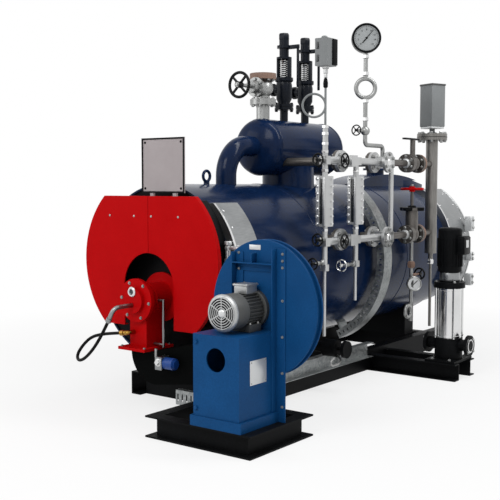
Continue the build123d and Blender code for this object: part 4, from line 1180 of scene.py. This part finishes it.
@dataclass
class LevelDetails:
    """Bolts, bands and hubs of the isolating valves, chamber flange bolts and the electrode head."""

    branch: float = 560
    valve_y: float = 1753
    heights: Pair = (1275, 843)
    faces: Pair = (1685, 1821)
    flange: float = 18
    gland_height: float = 988
    wheel_height: float = 1136
    chamber_y: float = 2018
    chamber_flange: Pair = (1426, 1466)
    gasket_height: float = 1444
    drain_height: float = 640
    head_turn: float = radians(-22)

    def build_valves(self) -> None:
        """Makes bolts, bands, hubs and the gland of both isolating valves."""
        x = self.branch
        bolts = []
        bands = []
        hubs = []
        band = [(22, -1), (57, -1), (57.5, 2), (57.5, 17), (57, 19), (22, 19), (22, -1)]
        for z in self.heights:
            for face in self.faces:
                bolts += ring((x, face - self.flange, z), Way.FRONT, 42, 6)
                bolts += ring((x, face + self.flange, z), Way.BACK, 42, 6)
            bands.append(stand(turned(band, 36), (x, self.faces[1], z), Way.BACK))
            hubs.append(spot((x, self.faces[0] - self.flange, z), Way.FRONT))
        fasten("isolating_valve_bolts", ZINC, hex_bolt(8, 9), bolts)
        dress(join(bands), "chamber_side_bands", OXIDE_BROWN)
        hub = turned([(20, 12), (27, 10), (30, 4), (30, 0)])
        fasten("valve_hubs", PLATE_PALE, hub, hubs, "zinc_fitting")
        lathe("gland_plate", CHASSIS_BLACK, (x, self.valve_y, self.gland_height),
              [(0, -2), (78, -2), (82, 2), (82, 16), (78, 19), (30, 19), (24, 30), (0, 30)], steps=4)
        nut = stand(hex_bolt(9, 12), (x, self.valve_y, self.wheel_height))
        dress(nut, "red_wheel_nut", ZINC, body="lower_valve_wheel")

    def build(self) -> None:
        """Makes the level control's small pieces."""
        self.build_valves()
        x, y = self.branch, self.chamber_y
        under, over = self.chamber_flange
        bolts = ring((x, y, over), Way.UP, 79, 8) + ring((x, y, under), Way.DOWN, 79, 8)
        fasten("chamber_bolts", ZINC, hex_bolt(10, 13), bolts)
        lathe("chamber_gasket", CHASSIS_BLACK, (x, y, self.gasket_height),
              [(80, 0), (95, 0), (95, 3), (80, 3), (80, 0)], steps=48)
        neck = stand(turned([(0, 0), (30, 0), (30, 8), (17, 12), (17, 44), (0, 44)], 24), (x, y, over))
        case = stand(block((112, 112, 262), 5), (x, y, 1641), roll=self.head_turn)
        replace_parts(dress(join([neck, case]), "electrode_case", GREY, "grey_paint"), "electrode_head")
        brick("electrode_lid", MOTOR_GREY, (x, y, 1772), (118, 118, 12), 4, roll=self.head_turn)
        brick("electrode_foot", PLATE_PALE, (x, y, 1505), (104, 104, 14), 3, slot="grey_paint", roll=self.head_turn)
        lathe("chamber_drain_cock", BRIGHT, (x, y, self.drain_height),
              [(0, 0), (17, 0), (22, 6), (22, 24), (17, 30), (13, 40), (13, 66), (0, 66)], steps=6)


@dataclass
class Instruments:
    """Faces of the gauges, the pressure switch's windows and the drain gauge's wheel."""

    dial_middle: Point = (560, 1173, 1956)
    dial_radius: float = 80
    dial_depth: float = 48
    dial_sweep: Pair = (radians(-135), radians(270))
    top_number: int = 16
    number_circle: float = 46
    tick_circle: float = 66
    needle_turn: float = radians(-40)
    siphon_nuts: tuple[float, ...] = (1846, 1752, 1600, 1500)
    switch_stem: Point = (560, 757, 1762)
    drain_gauge: Point = (596, 1724, 539)

    def face_at(self, out: float) -> Point:
        """Gives the point this far in front of the case's middle, along the dial's own direction."""
        x, y, z = self.dial_middle
        look = Way.GAUGE.value
        return (x + look[0] * out, y + look[1] * out, z)

    def number(self, value: int, sweep: float) -> Piece:
        """Makes one dial number as a mesh.

        Args:
            value: the number.
            sweep: its angle from straight up, clockwise, in radians.

        Returns:
            The number about the dial's middle.
        """
        fresh()
        bpy.ops.object.text_add(location=(0, 0, 0))
        word = bpy.context.object
        word.data.body = str(value)
        word.data.size = 13 * MM
        word.data.extrude = 0.3 * MM
        word.data.align_x = word.data.align_y = "CENTER"
        bpy.ops.object.convert(target="MESH")
        word = bpy.context.object
        reach = self.number_circle * MM
        base = spot(self.face_at(self.dial_depth / 2 + 2.6), Way.GAUGE)
        word.matrix_world = base @ Matrix.Translation((reach * sin(sweep), reach * cos(sweep), 0))
        return word

    def build_marks(self) -> None:
        """Makes the dial's ticks and numbers."""
        ticks = []
        words = []
        base = spot(self.face_at(self.dial_depth / 2 + 2.4), Way.GAUGE)
        start, whole = self.dial_sweep
        for step in range(self.top_number * 2 + 1):
            sweep = start + whole * step / (self.top_number * 2)
            numbered = step % 4 == 0
            if numbered:
                words.append(self.number(step // 2, sweep))
            long = 9 if numbered else 5
            out = Matrix.Translation((0, (self.tick_circle - long / 2) * MM, 0))
            ticks.append(base @ Matrix.Rotation(-sweep, 4, "Z") @ out @ Matrix.Diagonal((1, long / 5, 1, 1)))
        marks = copies(block((1.5, 5, 0.6), 0.2), ticks)
        dress(join([marks, *words]), "dial_marks", CHASSIS_BLACK)

    def build_dial(self) -> None:
        """Makes bezel, dial, marks and needle of the large gauge, and the siphon's nuts."""
        half = self.dial_depth / 2
        r = self.dial_radius
        lathe("dial_bezel", CHASSIS_BLACK, self.face_at(half),
              [(r - 11, 1), (r - 9, 7), (r - 3, 9), (r + 1, 6), (r + 1.5, -4), (r, -8), (r - 11, 1)], Way.GAUGE, 56)
        lathe("dial_sheet", DIAL_GREY, self.face_at(half), [(r - 8, 1.4), (r / 2, 1.6), (0, 1.6)], Way.GAUGE, 48)
        self.build_marks()
        needle = turned([(0, 0), (2.6, 4), (1.8, 60), (0.5, 96), (0, 98)], 8)
        needle.matrix_world = (spot(self.face_at(half + 5), Way.GAUGE) @ Matrix.Rotation(self.needle_turn, 4, "Z")
                               @ Matrix.Rotation(radians(-90), 4, "X") @ Matrix.Translation((0, 0, -38 * MM)))
        boss = stand(turned([(6, 0), (6, 3), (4, 5), (0, 5)], 18), self.face_at(half + 2), Way.GAUGE)
        dress(join([needle, boss]), "dial_needle", CHASSIS_BLACK)
        x, y, _ = self.dial_middle
        nut = turned([(13, 0), (20, 3), (20, 20), (13, 23)], 6)
        fasten("siphon_nuts", BRIGHT, nut, [spot((x, y, z)) for z in self.siphon_nuts])

    def build_switch(self) -> None:
        """Makes the switch's windows, side cover, knob and gland."""
        windows = [stand(block((15, 6, 36), 1.5), (540, 711, z)) for z in (1866, 1800)]
        dress(join(windows), "switch_windows", DARK_GLASS)
        brick("switch_side_cover", CHASSIS_BLACK, (600, 782, 1834), (8, 44, 134), 2)
        lathe("switch_knob", GREY, (556, 750, 1903), [(0, 16), (10, 15), (16, 10), (18, 0), (18, -3)], steps=24)
        lathe("switch_gland", GAUGE_SILVER, self.switch_stem,
              [(7, -60), (11, -58), (11, -38), (14, -36), (14, -14), (19, -12), (19, 0), (7, 0)], steps=6)
        lathe("switch_boot", CHASSIS_BLACK, self.switch_stem,
              [(7, -112), (12, -108), (13, -86), (9, -64), (7, -62)], steps=16)

    def build_drain_gauge(self) -> None:
        """Makes the small gauge's rim and face, its cock's wheel and the brown union."""
        where = self.drain_gauge
        lathe("drain_gauge_rim", ZINC, where,
              [(0, -16), (44, -16), (46, -12), (46, 4), (42, 8), (38, 6), (37, 1)], Way.GAUGE, 40)
        lathe("drain_gauge_face", PLATE_PALE, where, [(39, 1.2), (20, 1.6), (0, 1.6)], Way.GAUGE, 32, "dial")
        hand = turned([(0, -26), (2, -22), (2, 20), (0.5, 32), (0, 33)], 8)
        hand.matrix_world = (spot(where, Way.GAUGE) @ Matrix.Translation((0, 0, 4 * MM))
                             @ Matrix.Rotation(radians(-45), 4, "Z") @ Matrix.Rotation(radians(-90), 4, "X"))
        dress(join([hand]), "drain_gauge_needle", CHASSIS_BLACK)
        lathe("drain_union", OXIDE_BROWN, (560, 1753, 632),
              [(11, 0), (22, 4), (26, 14), (26, 30), (22, 40), (11, 44)], steps=6)
        lathe("drain_cock_stem", OXIDE_BROWN, (560, 1764, 588),
              [(0, 0), (10, 0), (10, 50), (6, 54), (6, 100), (0, 100)], Way.BACK, 16)
        dress(stand(spoked_wheel(40, 6), (560, 1868, 588), Way.BACK), "drain_cock_wheel", WHEEL_BLACK)

    def build(self) -> None:
        """Makes all instrument faces."""
        self.build_dial()
        self.build_switch()
        self.build_drain_gauge()


@dataclass
class PumpDetails:
    """Terminal box, fan cap, stay nuts, port faces and bolts of the feed pump."""

    middle: Pair = (835, 1712)
    port_height: float = 196
    port_reach: float = 138
    port_circle: float = 48
    stay_circle: float = 82
    stay_ends: Pair = (570, 250)
    foot_height: float = 114
    foot_reach: Point = (55, 108, 0)
    box_height: float = 790
    cap_height: float = 889
    guard_height: float = 576
    bands: Pair = (238, 520)

    def build(self) -> None:
        """Makes the pump's small pieces."""
        x, y = self.middle
        nuts = []
        for z, way in zip(self.stay_ends, (Way.UP, Way.DOWN)):
            nuts += ring((x, y, z), way, self.stay_circle, 4)
        nuts += corners((x, y, self.foot_height), self.foot_reach)
        ports = [((x + side * self.port_reach, y, self.port_height), way)
                 for side, way in ((1, Way.RIGHT), (-1, Way.LEFT))]
        for port, way in ports:
            nuts += ring(port, way, self.port_circle, 4)
        fasten("pump_nuts", ZINC, hex_bolt(8, 10), nuts)
        face = turned([(32, 1.5), (32, 0), (40, 0), (40, 3), (32, 3), (32, 1.5)], 36)
        fasten("pump_port_faces", BRIGHT, face, [spot(*port) for port in ports], "stainless")
        z = self.box_height
        brick("pump_terminal_box", CHASSIS_BLACK, (x + 88, y - 6, z), (40, 96, 110), 6)
        brick("pump_terminal_lid", WHEEL_BLACK, (x + 110, y - 6, z), (6, 84, 98), 2)
        brick("pump_blank_plate", PLATE_PALE, (x + 114, y - 10, z + 10), (2, 34, 44), 0.6)
        slots = [stand(bead(radius, 2, 32), (x, y, self.cap_height)) for radius in (20, 32, 44, 56)]
        dress(join(slots), "pump_fan_grille", WHEEL_BLACK)
        lathe("pump_coupling_guard", STAINLESS, (x, y, self.guard_height),
              [(59, 0), (60, 2), (60, 48), (59, 50)], steps=32)
        band = [(72.5, 0), (74, 2), (74, 12), (72.5, 14)]
        bands = [stand(turned(band, 40), (x, y, low)) for low in self.bands]
        dress(join(bands), "pump_sleeve_bands", BRIGHT, "stainless")


@dataclass
class RearDetails:
    """Clamps on the rear casing's side, the rear plate's bolts and cover, shell seams and the thin hook pipe."""

    end: float = 2792
    axis_height: float = 695
    bolt_circle: float = 395
    cover_height: float = 560
    cover_radius: float = 110
    seams: Pair = (905, 1905)
    shell_radius: float = 455
    tail: Point = (0, 2624.5, 1141.5)
    tail_size: Point = (238, 306, 70)
    clamp: Pair = (500, 2756)
    clamp_size: Pair = (56, 44)
    clamps: tuple[Pair, ...] = ((870, 104), (640, 64), (476, 84))
    hook: tuple[Point, ...] = ((500, 975, 206), (540, 960, 190), (575, 900, 178), (575, 850, 172),
                               (575, 805, 176), (575, 800, 205), (575, 838, 214))

    def build(self) -> None:
        """Makes the clamps, the rear end's pieces, the seams, the hood's tail and the pipe."""
        r = self.cover_radius
        lathe("rear_inspection_cover", NAVY, (0, self.end, self.cover_height),
              [(0, 0), (r, 0), (r, 10), (r - 4, 14), (r - 34, 14), (r - 38, 18), (0, 18)], Way.BACK, 48)
        bolts = ring((0, self.end, self.axis_height), Way.BACK, self.bolt_circle, 20)
        bolts += ring((0, self.end + 14, self.cover_height), Way.BACK, r - 17, 8)
        fasten("rear_plate_bolts", ZINC, hex_bolt(11, 13), bolts)
        seams("shell_seams", self.shell_radius, 2.4, 120, self.axis_height, self.seams)
        brick("hood_tail", NAVY, self.tail, self.tail_size, 6, Way.TAIL)
        x, y = self.clamp
        parts = []
        bolts = []
        for z, tall in self.clamps:
            parts.append(stand(block((*self.clamp_size, tall), 5), (x, y, z)))
            bolts += [spot((x + 28, y, z + end * tall / 4), Way.RIGHT) for end in (-1, 1)]
        dress(join(parts), "rear_clamps", PLATE_PALE)
        fasten("rear_clamp_bolts", ZINC, hex_bolt(9, 10), bolts)
        dress(pipe([place(*point) for point in self.hook], 6), "blowdown_hook_pipe", ZINC)


def main() -> None:
    """Builds and dresses the boiler."""
    logging.basicConfig(level=logging.INFO)
    Studio().build()
    OilHose().build()
    dress_nodes()
    for part in (FrontCover(), CasingTrim(), BurnerDetails(), ScrollShell(), BlowerFrame(), BlowerMotor(),
                 BlowerDetails(), DrumDetails(), TopValves(), GaugeDetails(), LevelDetails(), Instruments(),
                 PumpDetails(), RearDetails()):
        part.build()


if __name__ == "__main__":
    main()
